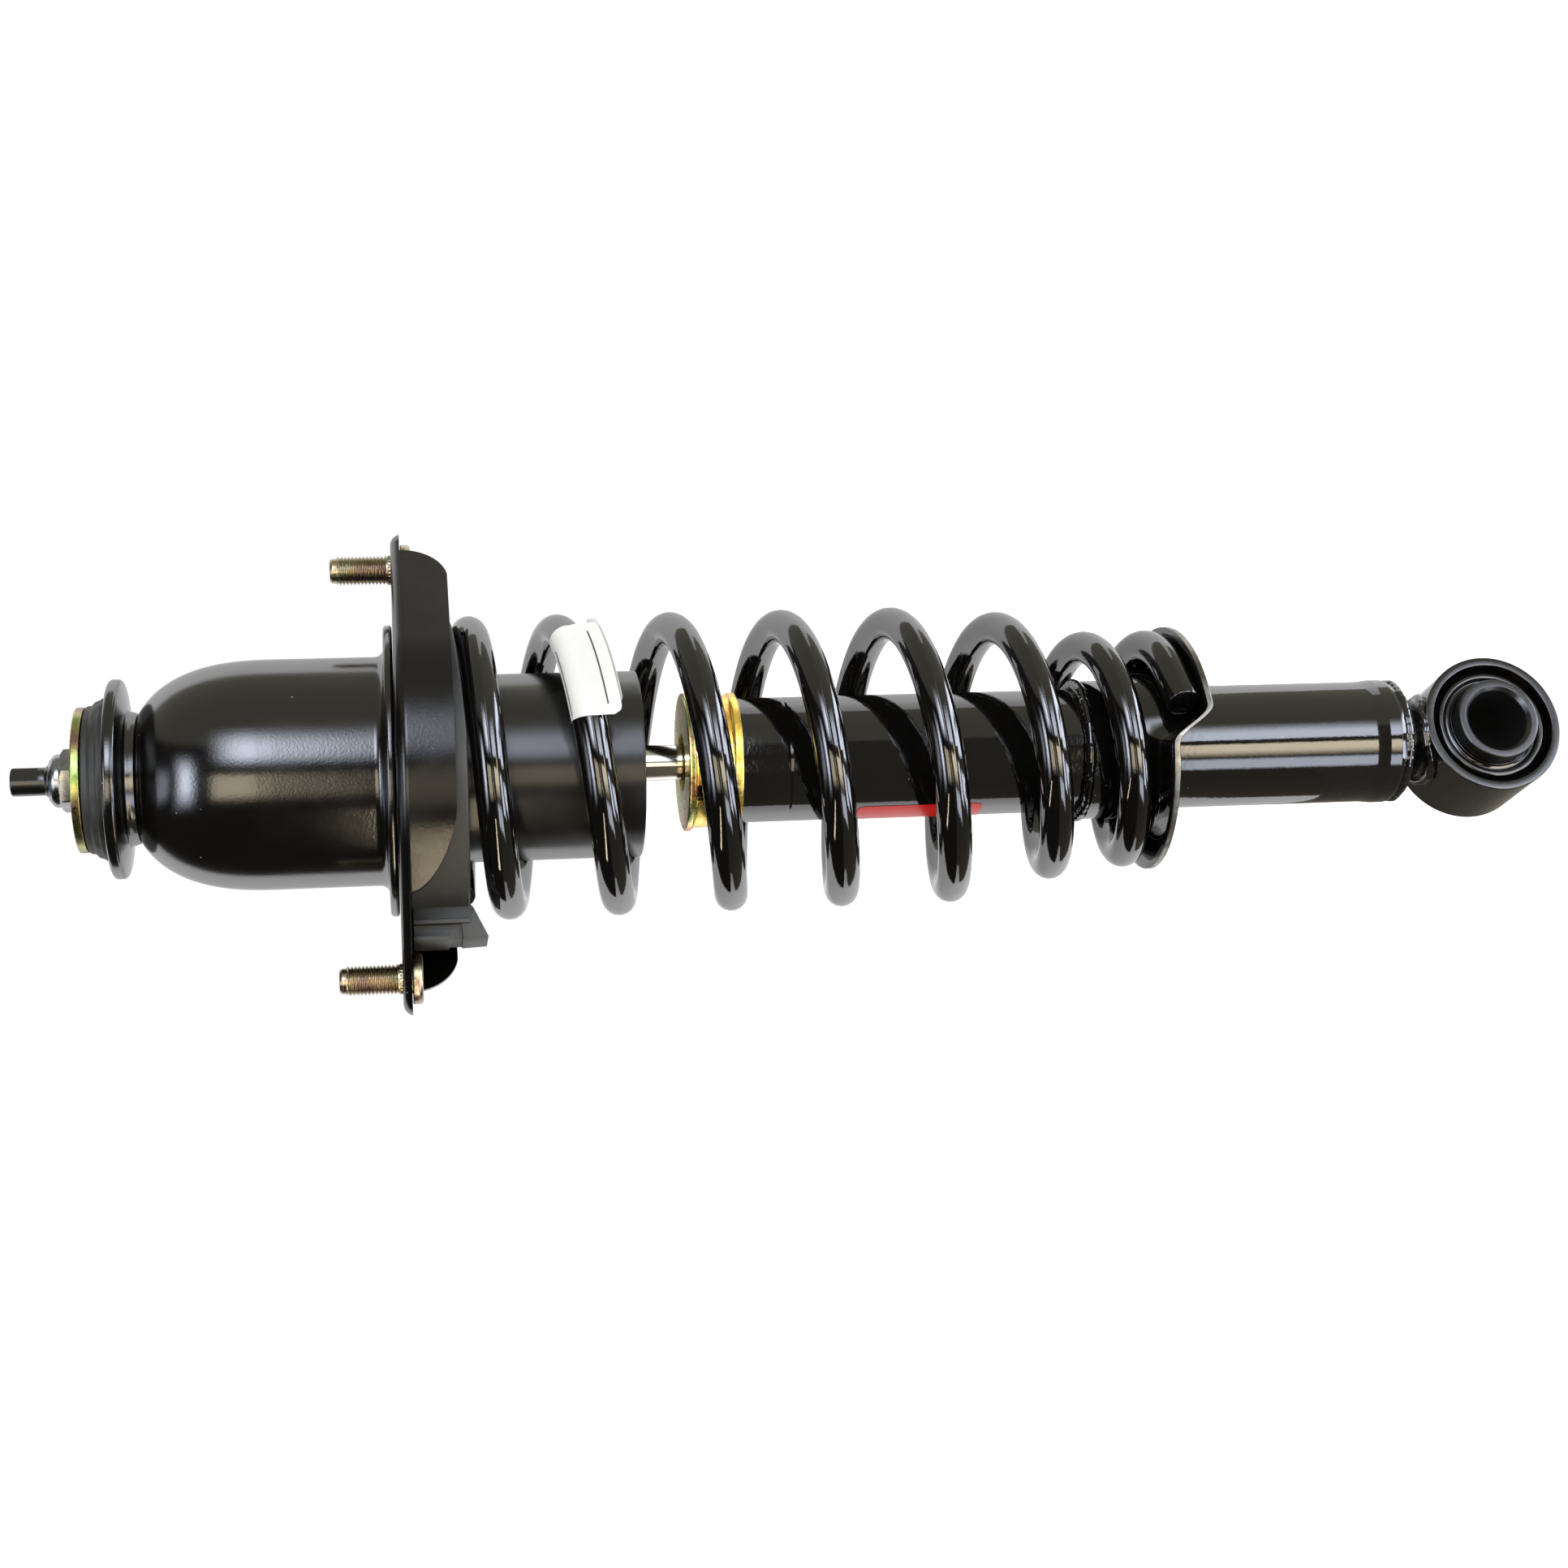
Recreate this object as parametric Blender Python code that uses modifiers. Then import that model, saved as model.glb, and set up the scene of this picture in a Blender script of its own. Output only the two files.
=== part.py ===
"""Coil-over strut: twin-tube damper, coil spring, bell-shaped top mount, bushed lower eye.

Units are metres. The origin lies on the damper's axis, at the top face of the mount flange,
where the strut is bolted under the car body. +Z runs up the axis towards the rod nut, the lower
eye's axis is parallel to Y, and the strut stands at full extension.
"""

import math

import bmesh
import bpy
from mathutils import Matrix, Vector

# ---------------------------------------------------------------- fits and facets
CLEAR = 0.0003            # gap between two pieces that touch
RUN_CLEAR = 0.0004        # running gap round the rod and the piston
ROUND_LARGE = 32          # facets round a large turned piece
ROUND_MID = 20
ROUND_SMALL = 16
SEAT_FACETS = 40          # round the two helical spring seats
FILLET_STEPS = 2
CHAMFER_BELOW = 0.0021    # a fillet smaller than this is drawn as a chamfer
AXIS_DISPLAY_SIZE = 0.03  # of the empties that stand on the joints' axes

# ---------------------------------------------------------------- mount flange and studs
FLANGE_SHEET = 0.003
FLANGE_ROOM = 0.0018      # between the first turn of the spring and the wall round it
FLANGE_WALL = 0.019       # depth of the turned-down wall, from the top face
FLANGE_BEND = 0.004       # outer radius of the bend between plate and wall
STUD_OFFSET = 0.072       # from the strut's axis to each stud
LUG_RADIUS = 0.0125
STUD_LINE_ANGLE = math.radians(-6.5)   # the studs' line, turned from +X
WALL_SWEEP_START = -0.013  # along the stud line, where the wall starts to run out
WALL_SWEEP_END = -0.048
WALL_TIP_ROUND = 0.014    # length of the rounded end that the wall has beside its own lug
STUD_RADIUS = 0.0048
STUD_STAND = 0.021        # above the flange's top face
STUD_PILOT_RADIUS = 0.0038
STUD_PILOT_LENGTH = 0.0025
STUD_HEAD_RADIUS = 0.0087
STUD_HEAD_HEIGHT = 0.0035

# ---------------------------------------------------------------- bell housing and cushion cup
BELL_SHEET = 0.003
BELL_RADIUS = 0.0393
BELL_BRIM_RADIUS = 0.050
BELL_STRAIGHT = 0.040     # height at which the dome begins
BELL_TOP = 0.0852
DOME_REACH = 0.050        # height over which the dome's curve would close on the axis
DOME_POWER = 2.6          # squareness of the dome's curve
CUP_SHEET = 0.0025
CUP_RIM_RADIUS = 0.0338
CUP_RIM_THICKNESS = 0.0042
CUP_RIM_HEIGHT = 0.0094   # top of the rim above the cup's seat on the bell
MOUNT_BORE = 0.0145       # hole through bell top and cup, round the lower cushion's spigot

# ---------------------------------------------------------------- rod and its fastenings
ROD_RADIUS = 0.00625
SHANK_RADIUS = 0.0057     # threaded upper length
STEM_RADIUS = 0.00475     # bare tip above the thread
STEM_FLATS = 0.0078       # across the wrench flats
STEM_FLATS_LENGTH = 0.009
STEM_LENGTH = 0.0127
NUT_ACROSS_FLATS = 0.019
NUT_HEX_HEIGHT = 0.0052
NUT_COLLAR_HEIGHT = 0.0038
NUT_COLLAR_RADIUS = 0.0090
TOP_WASHER_RADIUS = 0.0246
TOP_WASHER_THICKNESS = 0.003
TOP_CUSHION_RADIUS = 0.025
TOP_CUSHION_LIP = 0.0275
TOP_CUSHION_HEIGHT = 0.0143
LOW_CUSHION_RADIUS = 0.019
LOW_CUSHION_HEIGHT = 0.0140
LOW_WASHER_RADIUS = 0.0215
LOW_WASHER_THICKNESS = 0.0025
SLEEVE_RADIUS = 0.0086

# ---------------------------------------------------------------- dust cover and bump stop
DUST_RADIUS = 0.0324
DUST_WALL = 0.0018
DUST_TOP_THICKNESS = 0.0025
DUST_LENGTH = 0.1478
STOP_CUP_RADIUS = 0.0245
STOP_CUP_SHEET = 0.0015
STOP_CUP_DEPTH = 0.014
BUMP_STOP_RADIUS = 0.0220
BUMP_STOP_LENGTH = 0.058
BUMP_STOP_WAISTS = 3
WAIST_DEPTH = 0.0030

# ---------------------------------------------------------------- coil spring
WIRE_RADIUS = 0.0059
SPRING_RADIUS = 0.0468    # to the wire's centre, main turns
TAIL_RADIUS = 0.0366      # the same, at the reduced lower turns
PITCH = 0.0392            # per turn, main turns
TOP_PITCH = 0.011
BOTTOM_PITCH = 0.0165
FIRST_PASS_DROP = 0.0257  # wire centre below the flange's top face at turn 0
TOP_RAMP = (-0.35, 1.30)  # turn where the pitch starts to open, and over how many turns
BOTTOM_RAMP = (4.30, 3.30)
TAIL_RAMP = (4.50, 1.60)
START_TURN = -0.44
END_TURN = 7.187
POINTS_PER_TURN = 24
SPRING_ANGLE = math.radians(-19.0)   # where turn 0 lies, turned from +X

# ---------------------------------------------------------------- upper insulator
INSULATOR_BORE_ROOM = 0.0016   # round the dust cover
FLANGE_BORE_ROOM = 0.0026
INSULATOR_EDGE_ROOM = 0.0030   # inside the flange's wall
EAR_REACH = 0.0095        # how far the ear stands out past the ring
EAR_HALF_ANGLE = math.radians(17.0)
INSULATOR_DEPTH = 0.010   # at the ramp's thickest, before it is laid on the wire

# ---------------------------------------------------------------- damper body
TUBE_RADIUS = 0.0219
TUBE_WALL = 0.0018
TUBE_TOP = -0.1013
TUBE_END = -0.3575
FLARE_RADIUS = 0.0229
FLARE_LENGTH = 0.0080
CAP_OVERHANG = 0.0010     # of the disc past its skirt
CAP_SHEET = 0.0024
CAP_SKIRT_WALL = 0.0010
CAP_SKIRT_LENGTH = 0.0165
CAP_HOLE_RADIUS = 0.0102
CAP_SLOT_WIDTH = 0.0030
CAP_SLOT_LENGTH = 0.0070
GUIDE_HEIGHT = 0.018
GUIDE_SPIGOT_RADIUS = 0.0146
GUIDE_SPIGOT_LENGTH = 0.007
SEAL_RADIUS = 0.0155
SEAL_HEIGHT = 0.0035
PRESSURE_BORE = 0.0150
PRESSURE_WALL = 0.0012
BASE_VALVE_HEIGHT = 0.012
REBOUND_STOP_RADIUS = 0.0105
REBOUND_STOP_HEIGHT = 0.0090
PISTON_DROP = 0.0400      # piston's top below the rod guide's underside, at full extension
PISTON_HEIGHT = 0.0130
BAND_HEIGHT = 0.0080
BAND_THICKNESS = 0.0010
VALVE_STACK_HEIGHT = 0.0018
VALVE_STACK_RADIUS = 0.0110
PISTON_NUT_ACROSS = 0.0150
PISTON_NUT_HEIGHT = 0.0070
PISTON_POST_RADIUS = 0.0045

# ---------------------------------------------------------------- lower spring seat
SEAT_SHEET = 0.0026
SEAT_RIM_MARGIN = 0.0010  # of the pan past the wire
SEAT_COLLAR_WALL = 0.0026
SEAT_COLLAR_LENGTH = 0.0120
SEAT_TRUMPET_HEIGHT = 0.0135
SEAT_CONTACT_TURN = 6.60  # from here on the wire lies in the seat
SEAT_RISE_SHARE = 0.20    # slope that is left under the turn that lifts off the seat
SEAT_BEAD_RADIUS = 0.0014
STEP_START_TURN = END_TURN + 0.008
STEP_END_TURN = STEP_START_TURN + 0.050

# ---------------------------------------------------------------- lower eye
EYE_CENTRE_Z = -0.3929
EYE_RADIUS = 0.0254
EYE_WALL = 0.0031
EYE_LENGTH = 0.0330
INNER_SLEEVE_RADIUS = 0.0150
INNER_SLEEVE_LENGTH = 0.0430
EYE_BORE_RADIUS = 0.0110
EYE_BORE_CHAMFER = 0.0014
BUSH_INSET = 0.0015       # the rubber's face, behind the ring's face
BUSH_GROOVE = 0.0030
NECK_RADIUS = 0.0140
END_CAP_DOME = 0.0065

# ---------------------------------------------------------------- levels that follow from them
FLANGE_RADIUS = SPRING_RADIUS + WIRE_RADIUS + FLANGE_ROOM + FLANGE_SHEET
FLANGE_BORE = DUST_RADIUS + FLANGE_BORE_ROOM
FLANGE_UNDER = -FLANGE_SHEET
INSULATOR_INNER = DUST_RADIUS + INSULATOR_BORE_ROOM
INSULATOR_OUTER = FLANGE_RADIUS - FLANGE_SHEET - INSULATOR_EDGE_ROOM
CUP_SEAT = BELL_TOP + CLEAR
CUP_FLOOR = CUP_SEAT + CUP_SHEET
CUSHION_BASE = CUP_FLOOR + CLEAR
WASHER_BASE = CUSHION_BASE + TOP_CUSHION_HEIGHT + CLEAR
NUT_BASE = WASHER_BASE + TOP_WASHER_THICKNESS + CLEAR
NUT_TOP = NUT_BASE + NUT_HEX_HEIGHT + NUT_COLLAR_HEIGHT
ROD_TIP = NUT_TOP + STEM_LENGTH
BELL_UNDER = BELL_TOP - BELL_SHEET
LOW_CUSHION_TOP = BELL_UNDER - CLEAR
LOW_CUSHION_BASE = LOW_CUSHION_TOP - LOW_CUSHION_HEIGHT
LOW_WASHER_TOP = LOW_CUSHION_BASE - CLEAR
LOW_WASHER_BASE = LOW_WASHER_TOP - LOW_WASHER_THICKNESS
DUST_TOP = LOW_WASHER_BASE - CLEAR
DUST_UNDER = DUST_TOP - DUST_TOP_THICKNESS
STOP_CUP_TOP = DUST_UNDER - CLEAR
STOP_CUP_UNDER = STOP_CUP_TOP - STOP_CUP_SHEET
ROD_SHOULDER = STOP_CUP_UNDER - CLEAR
SHANK_BORE = SHANK_RADIUS + CLEAR
BUMP_STOP_TOP = STOP_CUP_UNDER - CLEAR
CAP_SKIRT_BORE = TUBE_RADIUS + CLEAR
CAP_RADIUS = CAP_SKIRT_BORE + CAP_SKIRT_WALL + CAP_OVERHANG
CAP_UNDER = TUBE_TOP + CLEAR
CAP_TOP = CAP_UNDER + CAP_SHEET
SEAL_TOP = CAP_UNDER - CLEAR
GUIDE_TOP = SEAL_TOP - SEAL_HEIGHT - CLEAR
GUIDE_UNDER = GUIDE_TOP - GUIDE_HEIGHT
PISTON_TOP = GUIDE_UNDER - PISTON_DROP
POST_END = PISTON_TOP - PISTON_HEIGHT - VALVE_STACK_HEIGHT - PISTON_NUT_HEIGHT - 3 * CLEAR
TUBE_BORE = TUBE_RADIUS - TUBE_WALL
SEAT_RIM_RADIUS = TAIL_RADIUS + WIRE_RADIUS + SEAT_RIM_MARGIN
END_CAP_TOP = TUBE_END + FLARE_LENGTH
BASE_VALVE_TOP = END_CAP_TOP + 2 * CLEAR + BASE_VALVE_HEIGHT
PRESSURE_TOP = GUIDE_UNDER + GUIDE_SPIGOT_LENGTH - CLEAR

# ---------------------------------------------------------------- colours: name, rgb, rough, metal
FINISHES = {
    "black_paint": ((0.012, 0.012, 0.013), 0.25, 0.0),
    "gloss_black": ((0.008, 0.008, 0.009), 0.12, 0.0),
    "yellow_zinc": ((0.62, 0.50, 0.22), 0.30, 1.0),
    "clear_zinc": ((0.66, 0.67, 0.68), 0.28, 1.0),
    "black_oxide": ((0.030, 0.029, 0.028), 0.40, 0.6),
    "hard_chrome": ((0.62, 0.61, 0.58), 0.08, 1.0),
    "rubber": ((0.035, 0.035, 0.034), 0.65, 0.0),
    "black_plastic": ((0.020, 0.020, 0.021), 0.45, 0.0),
    "foam": ((0.45, 0.38, 0.22), 0.80, 0.0),
    "bare_steel": ((0.45, 0.45, 0.46), 0.35, 1.0),
    "ptfe": ((0.10, 0.10, 0.09), 0.50, 0.0),
}


# ---------------------------------------------------------------- scene and small helpers
def clear_scene():
    for obj in list(bpy.data.objects):
        bpy.data.objects.remove(obj, do_unlink=True)


def new_collection(name):
    collection = bpy.data.collections.new(name)
    bpy.context.scene.collection.children.link(collection)
    return collection


def finish(name):
    """Return the finish's material, made once."""
    existing = bpy.data.materials.get(name)
    if existing:
        return existing
    colour, roughness, metallic = FINISHES[name]
    material = bpy.data.materials.new(name)
    material.use_nodes = True
    shader = material.node_tree.nodes["Principled BSDF"]
    shader.inputs["Base Color"].default_value = (*colour, 1.0)
    shader.inputs["Roughness"].default_value = roughness
    shader.inputs["Metallic"].default_value = metallic
    material.diffuse_color = (*colour, 1.0)
    return material


def add_part(name, data, finish_name, parent):
    """Make one named sub-part in the strut's collection, with a material of its own."""
    material = finish(finish_name).copy()
    material.name = name + " " + finish_name
    data.materials.append(material)
    obj = bpy.data.objects.new(name, data)
    STRUT.objects.link(obj)
    obj.parent = parent
    return obj


def add_cutter(name, data, parent=None):
    obj = bpy.data.objects.new(name, data)
    CUTTERS.objects.link(obj)
    obj.parent = parent
    obj.hide_render = True
    obj.display_type = "WIRE"
    return obj


def add_axis(name, location, rotation=(0.0, 0.0, 0.0)):
    empty = bpy.data.objects.new(name, None)
    empty.empty_display_size = AXIS_DISPLAY_SIZE
    empty.location = location
    empty.rotation_euler = rotation
    STRUT.objects.link(empty)
    return empty


def boolean(target, cutter, operation="DIFFERENCE"):
    modifier = target.modifiers.new(operation.lower() + " " + cutter.name, "BOOLEAN")
    modifier.operation = operation
    modifier.solver = "EXACT"
    modifier.object = cutter


def smoothstep(value):
    x = min(max(value, 0.0), 1.0)
    return x * x * (3.0 - 2.0 * x)


def smoothstep_sum(value):
    """Integral of smoothstep from 0 to value."""
    if value <= 0.0:
        return 0.0
    if value >= 1.0:
        return value - 0.5
    return value ** 3 - 0.5 * value ** 4


def rounded(corners, closed=True):
    """Outline through (r, z) or (r, z, fillet) corners, each fillet drawn as an arc."""
    points = []
    count = len(corners)
    for index, corner in enumerate(corners):
        here = Vector(corner[:2])
        at_end = not closed and index in (0, count - 1)
        if len(corner) < 3 or at_end:
            points.append(here)
            continue
        before = Vector(corners[index - 1][:2]) - here
        after = Vector(corners[(index + 1) % count][:2]) - here
        half = before.angle(after) / 2.0
        reach = min(corner[2] / math.tan(half), 0.49 * before.length, 0.49 * after.length)
        centre = here + (before.normalized() + after.normalized()).normalized() * reach / math.cos(half)
        start = here + before.normalized() * reach - centre
        end = here + after.normalized() * reach - centre
        steps = 1 if corner[2] < CHAMFER_BELOW else FILLET_STEPS
        first = math.atan2(start.y, start.x)
        sweep = math.atan2(start.cross(end), start.dot(end))
        for step in range(steps + 1):
            angle = first + sweep * step / steps
            points.append(centre + Vector((math.cos(angle), math.sin(angle))) * start.length)
    return points


def hexagon(across_flats, first_angle):
    """Corners of a hexagon of the given width across its flats."""
    radius = across_flats / 2.0 / math.cos(math.pi / 6.0)
    angles = [first_angle + math.pi / 3.0 * corner for corner in range(6)]
    return [(radius * math.cos(angle), radius * math.sin(angle)) for angle in angles]


def outline_mesh(name, points, closed):
    """Edges of a turned outline, in the XZ plane."""
    mesh = bpy.data.meshes.new(name)
    count = len(points)
    edges = [(index, index + 1) for index in range(count - 1)]
    if closed:
        edges.append((count - 1, 0))
    mesh.from_pydata([(p[0], 0.0, p[1]) for p in points], edges, [])
    return mesh


def add_screw(obj, steps):
    modifier = obj.modifiers.new("turn", "SCREW")
    modifier.axis = "Z"
    modifier.angle = math.tau
    modifier.steps = steps
    modifier.render_steps = steps
    modifier.use_merge_vertices = True
    modifier.merge_threshold = 0.00001
    return modifier


def turned(name, corners, finish_name, parent, steps=ROUND_MID, closed=True):
    """A turned piece: the outline runs down its outer side first, from the top."""
    mesh = outline_mesh(name, rounded(corners, closed), closed)
    obj = add_part(name, mesh, finish_name, parent)
    add_screw(obj, steps)
    return obj


def turned_cutter(name, corners, steps=ROUND_MID, closed=True, parent=None):
    cutter = add_cutter(name, outline_mesh(name, rounded(corners, closed), closed), parent)
    add_screw(cutter, steps)
    return cutter


def baked_mesh(obj):
    """The object's evaluated mesh as data of its own."""
    graph = bpy.context.evaluated_depsgraph_get()
    graph.update()
    mesh = bpy.data.meshes.new_from_object(obj.evaluated_get(graph))
    shape = bmesh.new()
    shape.from_mesh(mesh)
    bmesh.ops.remove_doubles(shape, verts=shape.verts, dist=0.000001)
    shape.to_mesh(mesh)
    shape.free()
    return mesh


def bake(obj):
    """Replace the object's mesh by its evaluated one, and drop its modifiers."""
    mesh = baked_mesh(obj)
    obj.modifiers.clear()
    obj.data = mesh


def prism_mesh(name, outline, low, high):
    """A closed prism over an outline in the XY plane, from low to high in Z."""
    shape = bmesh.new()
    face = shape.faces.new([shape.verts.new((x, y, low)) for x, y in outline])
    raised = bmesh.ops.extrude_face_region(shape, geom=[face])
    moved = [item for item in raised["geom"] if isinstance(item, bmesh.types.BMVert)]
    bmesh.ops.translate(shape, verts=moved, vec=(0.0, 0.0, high - low))
    bmesh.ops.recalc_face_normals(shape, faces=shape.faces)
    mesh = bpy.data.meshes.new(name)
    shape.to_mesh(mesh)
    shape.free()
    return mesh


def ring_corners(inner, outer, top, bottom, edge=0.0):
    """Section of a plain ring, with its outer edges rounded."""
    return [(outer, top, edge), (outer, bottom, edge), (inner, bottom), (inner, top)]


def arc_points(centre_x, radius, start, end, steps):
    """Points along an arc about a centre on the X axis."""
    points = []
    for step in range(steps + 1):
        angle = start + (end - start) * step / steps
        points.append((centre_x + radius * math.cos(angle), radius * math.sin(angle)))
    return points


# ---------------------------------------------------------------- the spring's path
def wire_drop(turn):
    """How far the wire's centre lies below the flange's top face at a turn."""
    top_start, top_turns = TOP_RAMP
    low_start, low_turns = BOTTOM_RAMP
    opened = smoothstep_sum((turn - top_start) / top_turns) - smoothstep_sum(-top_start / top_turns)
    closed = smoothstep_sum((turn - low_start) / low_turns)
    drop = FIRST_PASS_DROP + TOP_PITCH * turn
    drop += (PITCH - TOP_PITCH) * top_turns * opened
    drop -= (PITCH - BOTTOM_PITCH) * low_turns * closed
    return drop


def wire_radius(turn):
    start, turns = TAIL_RAMP
    return SPRING_RADIUS - (SPRING_RADIUS - TAIL_RADIUS) * smoothstep((turn - start) / turns)


def wire_point(turn):
    """Centre of the wire at a turn. The helix is right-handed, so it turns clockwise going down."""
    angle = SPRING_ANGLE - math.tau * turn
    radius = wire_radius(turn)
    return Vector((radius * math.cos(angle), radius * math.sin(angle), -wire_drop(turn)))


def turn_of(x, y, first_turn):
    """The turn, at or after first_turn, at which the wire passes over the point (x, y)."""
    turn = (SPRING_ANGLE - math.atan2(y, x)) / math.tau
    return turn + math.ceil(first_turn - turn)


def wire_path():
    """Points of the wire, with one straight wire diameter at each cut end."""
    end_share = 2.0 * WIRE_RADIUS / (math.tau * TAIL_RADIUS)
    start_share = 2.0 * WIRE_RADIUS / (math.tau * SPRING_RADIUS)
    first = START_TURN + start_share
    last = END_TURN - end_share
    count = round((last - first) * POINTS_PER_TURN)
    points = [wire_point(first + (last - first) * index / count) for index in range(count + 1)]
    head = (points[0] - wire_point(first + 0.002)).normalized() * 2.0 * WIRE_RADIUS
    tail = (points[-1] - wire_point(last - 0.002)).normalized() * 2.0 * WIRE_RADIUS
    return [points[0] + head] + points + [points[-1] + tail]


def least_gap(points):
    """Least distance between the wire's surface and itself, past its own thickness along it."""
    least = None
    apart = POINTS_PER_TURN // 2
    for index, point in enumerate(points):
        for other in points[index + apart:]:
            distance = (point - other).length - 2.0 * WIRE_RADIUS
            if least is None or distance < least:
                least = distance
    return least


# ---------------------------------------------------------------- mount pieces
def flange_outline(inset=0.0):
    """The plate's outline, a disc drawn out to a round lug at each stud, or one parallel to it."""
    lean = math.acos((FLANGE_RADIUS - LUG_RADIUS) / STUD_OFFSET)
    half = arc_points(STUD_OFFSET, LUG_RADIUS - inset, -lean, lean, 8)
    half += arc_points(0.0, FLANGE_RADIUS - inset, lean, math.pi - lean, 14)
    return half + [(-x, -y) for x, y in half]


def wall_cutter(name, side, parent):
    """Takes the wall away below the line along which it runs out, on one side of the stud line."""
    level = FLANGE_UNDER - 0.0001
    full = -FLANGE_WALL - 0.0002
    deep = -FLANGE_WALL - 0.01
    reach = STUD_OFFSET + 2.0 * LUG_RADIUS
    wall_tip = STUD_OFFSET + 0.25 * LUG_RADIUS
    line = [(-reach, level)]
    for step in range(9):
        share = step / 8.0
        along = WALL_SWEEP_END + (WALL_SWEEP_START - WALL_SWEEP_END) * share
        line.append((along, level + (full - level) * smoothstep(share)))
    for step in range(7):
        angle = math.pi / 2.0 * step / 6.0
        along = wall_tip - WALL_TIP_ROUND * (1.0 - math.sin(angle))
        line.append((along, level + (full - level) * math.cos(angle)))
    line += [(reach, level), (reach, deep), (-reach, deep)]
    mesh = prism_mesh(name, line, -0.0005, FLANGE_RADIUS + 0.01)
    mesh.transform(Matrix.Rotation(math.pi / 2.0, 4, "X"))
    if side > 0:
        mesh.transform(Matrix.Rotation(math.pi, 4, "Z"))
    return add_cutter(name, mesh, parent)


def flange_surface():
    """The sheet's outer face: flat plate, bend, and a wall of full depth all the way round."""
    bend_steps = 4
    rings = []
    for step in range(bend_steps + 1):
        angle = math.pi / 2.0 * step / bend_steps
        rings.append((FLANGE_BEND * (1.0 - math.sin(angle)), -FLANGE_BEND * (1.0 - math.cos(angle))))
    rings.append((0.0, -FLANGE_WALL))
    shape = bmesh.new()
    loops = []
    for inset, level in rings:
        verts = [shape.verts.new((x, y, level)) for x, y in flange_outline(inset)]
        pairs = zip(verts, verts[1:] + verts[:1])
        loops.append([shape.edges.new(pair) for pair in pairs])
        if len(loops) == 1:
            shape.faces.new(verts)
    for upper, lower in zip(loops, loops[1:]):
        bmesh.ops.bridge_loops(shape, edges=upper + lower)
    bmesh.ops.recalc_face_normals(shape, faces=shape.faces)
    plate = max(shape.faces, key=lambda face: face.calc_area())
    if plate.normal.z < 0.0:
        bmesh.ops.reverse_faces(shape, faces=shape.faces)
    mesh = bpy.data.meshes.new("mount_flange")
    shape.to_mesh(mesh)
    shape.free()
    return mesh


def make_flange(parent):
    """Pressed plate with a lug at each stud, and walls that sweep away beside the far lug."""
    line = add_axis("stud_line", (0.0, 0.0, 0.0), (0.0, 0.0, STUD_LINE_ANGLE))
    line.parent = parent
    flange = add_part("mount_flange", flange_surface(), "black_paint", line)
    wall = flange.modifiers.new("sheet", "SOLIDIFY")
    wall.thickness = FLANGE_SHEET
    wall.offset = -1.0
    wall.use_even_offset = True
    boolean(flange, wall_cutter("near wall run-out", -1, line))
    boolean(flange, wall_cutter("far wall run-out", 1, line))
    above = FLANGE_SHEET
    below = -2.0 * FLANGE_SHEET
    boolean(flange, turned_cutter("flange bore", [(0.0, above), (FLANGE_BORE, above), (FLANGE_BORE, below),
                                                   (0.0, below)],
                                  ROUND_LARGE, closed=False, parent=line))
    for side in (-1.0, 1.0):
        hole = STUD_RADIUS + CLEAR
        corners = [(0.0, above), (hole, above), (hole, below), (0.0, below)]
        cutter = turned_cutter("stud hole", corners, ROUND_SMALL, closed=False, parent=line)
        cutter.location.x = side * STUD_OFFSET
        boolean(flange, cutter)
    return line


def make_studs(line):
    """Two studs pressed up through the lugs: round head below, shank, and a bare pilot."""
    head_top = FLANGE_UNDER - CLEAR
    head_base = head_top - STUD_HEAD_HEIGHT
    thread_top = STUD_STAND - STUD_PILOT_LENGTH
    corners = [(0.0, STUD_STAND), (STUD_PILOT_RADIUS, STUD_STAND, 0.0005), (STUD_PILOT_RADIUS, thread_top),
               (STUD_RADIUS, thread_top - 0.0009), (STUD_RADIUS, head_top),
               (STUD_HEAD_RADIUS, head_top, 0.0006), (STUD_HEAD_RADIUS, head_base, 0.0014),
               (0.0, head_base)]
    for name, side in (("mount_stud_a", 1.0), ("mount_stud_b", -1.0)):
        stud = turned(name, corners, "yellow_zinc", line, ROUND_SMALL, closed=False)
        stud.location.x = side * STUD_OFFSET


def dome_radius(level):
    share = max(level - BELL_STRAIGHT, 0.0) / DOME_REACH
    return BELL_RADIUS * (1.0 - share ** DOME_POWER) ** (1.0 / DOME_POWER)


def make_bell(parent):
    """Deep-drawn bell: flat top with the rod's hole, domed shoulder, straight wall and brim."""
    shoulder = dome_radius(BELL_TOP)
    brim_top = CLEAR + BELL_SHEET
    dome_steps = 6
    outer = [(MOUNT_BORE, BELL_TOP), (shoulder, BELL_TOP)]
    for step in range(1, dome_steps + 1):
        # the levels crowd towards the top, where the dome turns fastest
        share = (1.0 - step / dome_steps) ** 0.6
        level = BELL_STRAIGHT + (BELL_TOP - BELL_STRAIGHT) * share
        outer.append((dome_radius(level), level))
    outer += [(BELL_RADIUS, brim_top, 0.0025), (BELL_BRIM_RADIUS, brim_top, 0.0012),
              (BELL_BRIM_RADIUS, CLEAR, 0.0010)]
    inner_wall = BELL_RADIUS - BELL_SHEET
    inner = [(inner_wall, CLEAR, 0.0020)]
    for step in range(dome_steps, 0, -1):
        share = (1.0 - step / dome_steps) ** 0.6
        level = BELL_STRAIGHT + (BELL_UNDER - BELL_STRAIGHT) * share
        inner.append((dome_radius(level + BELL_SHEET * share) - BELL_SHEET, level))
    inner += [(shoulder - BELL_SHEET, BELL_UNDER), (MOUNT_BORE, BELL_UNDER)]
    turned("bell_housing", outer + inner, "black_paint", parent, ROUND_LARGE)


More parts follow.
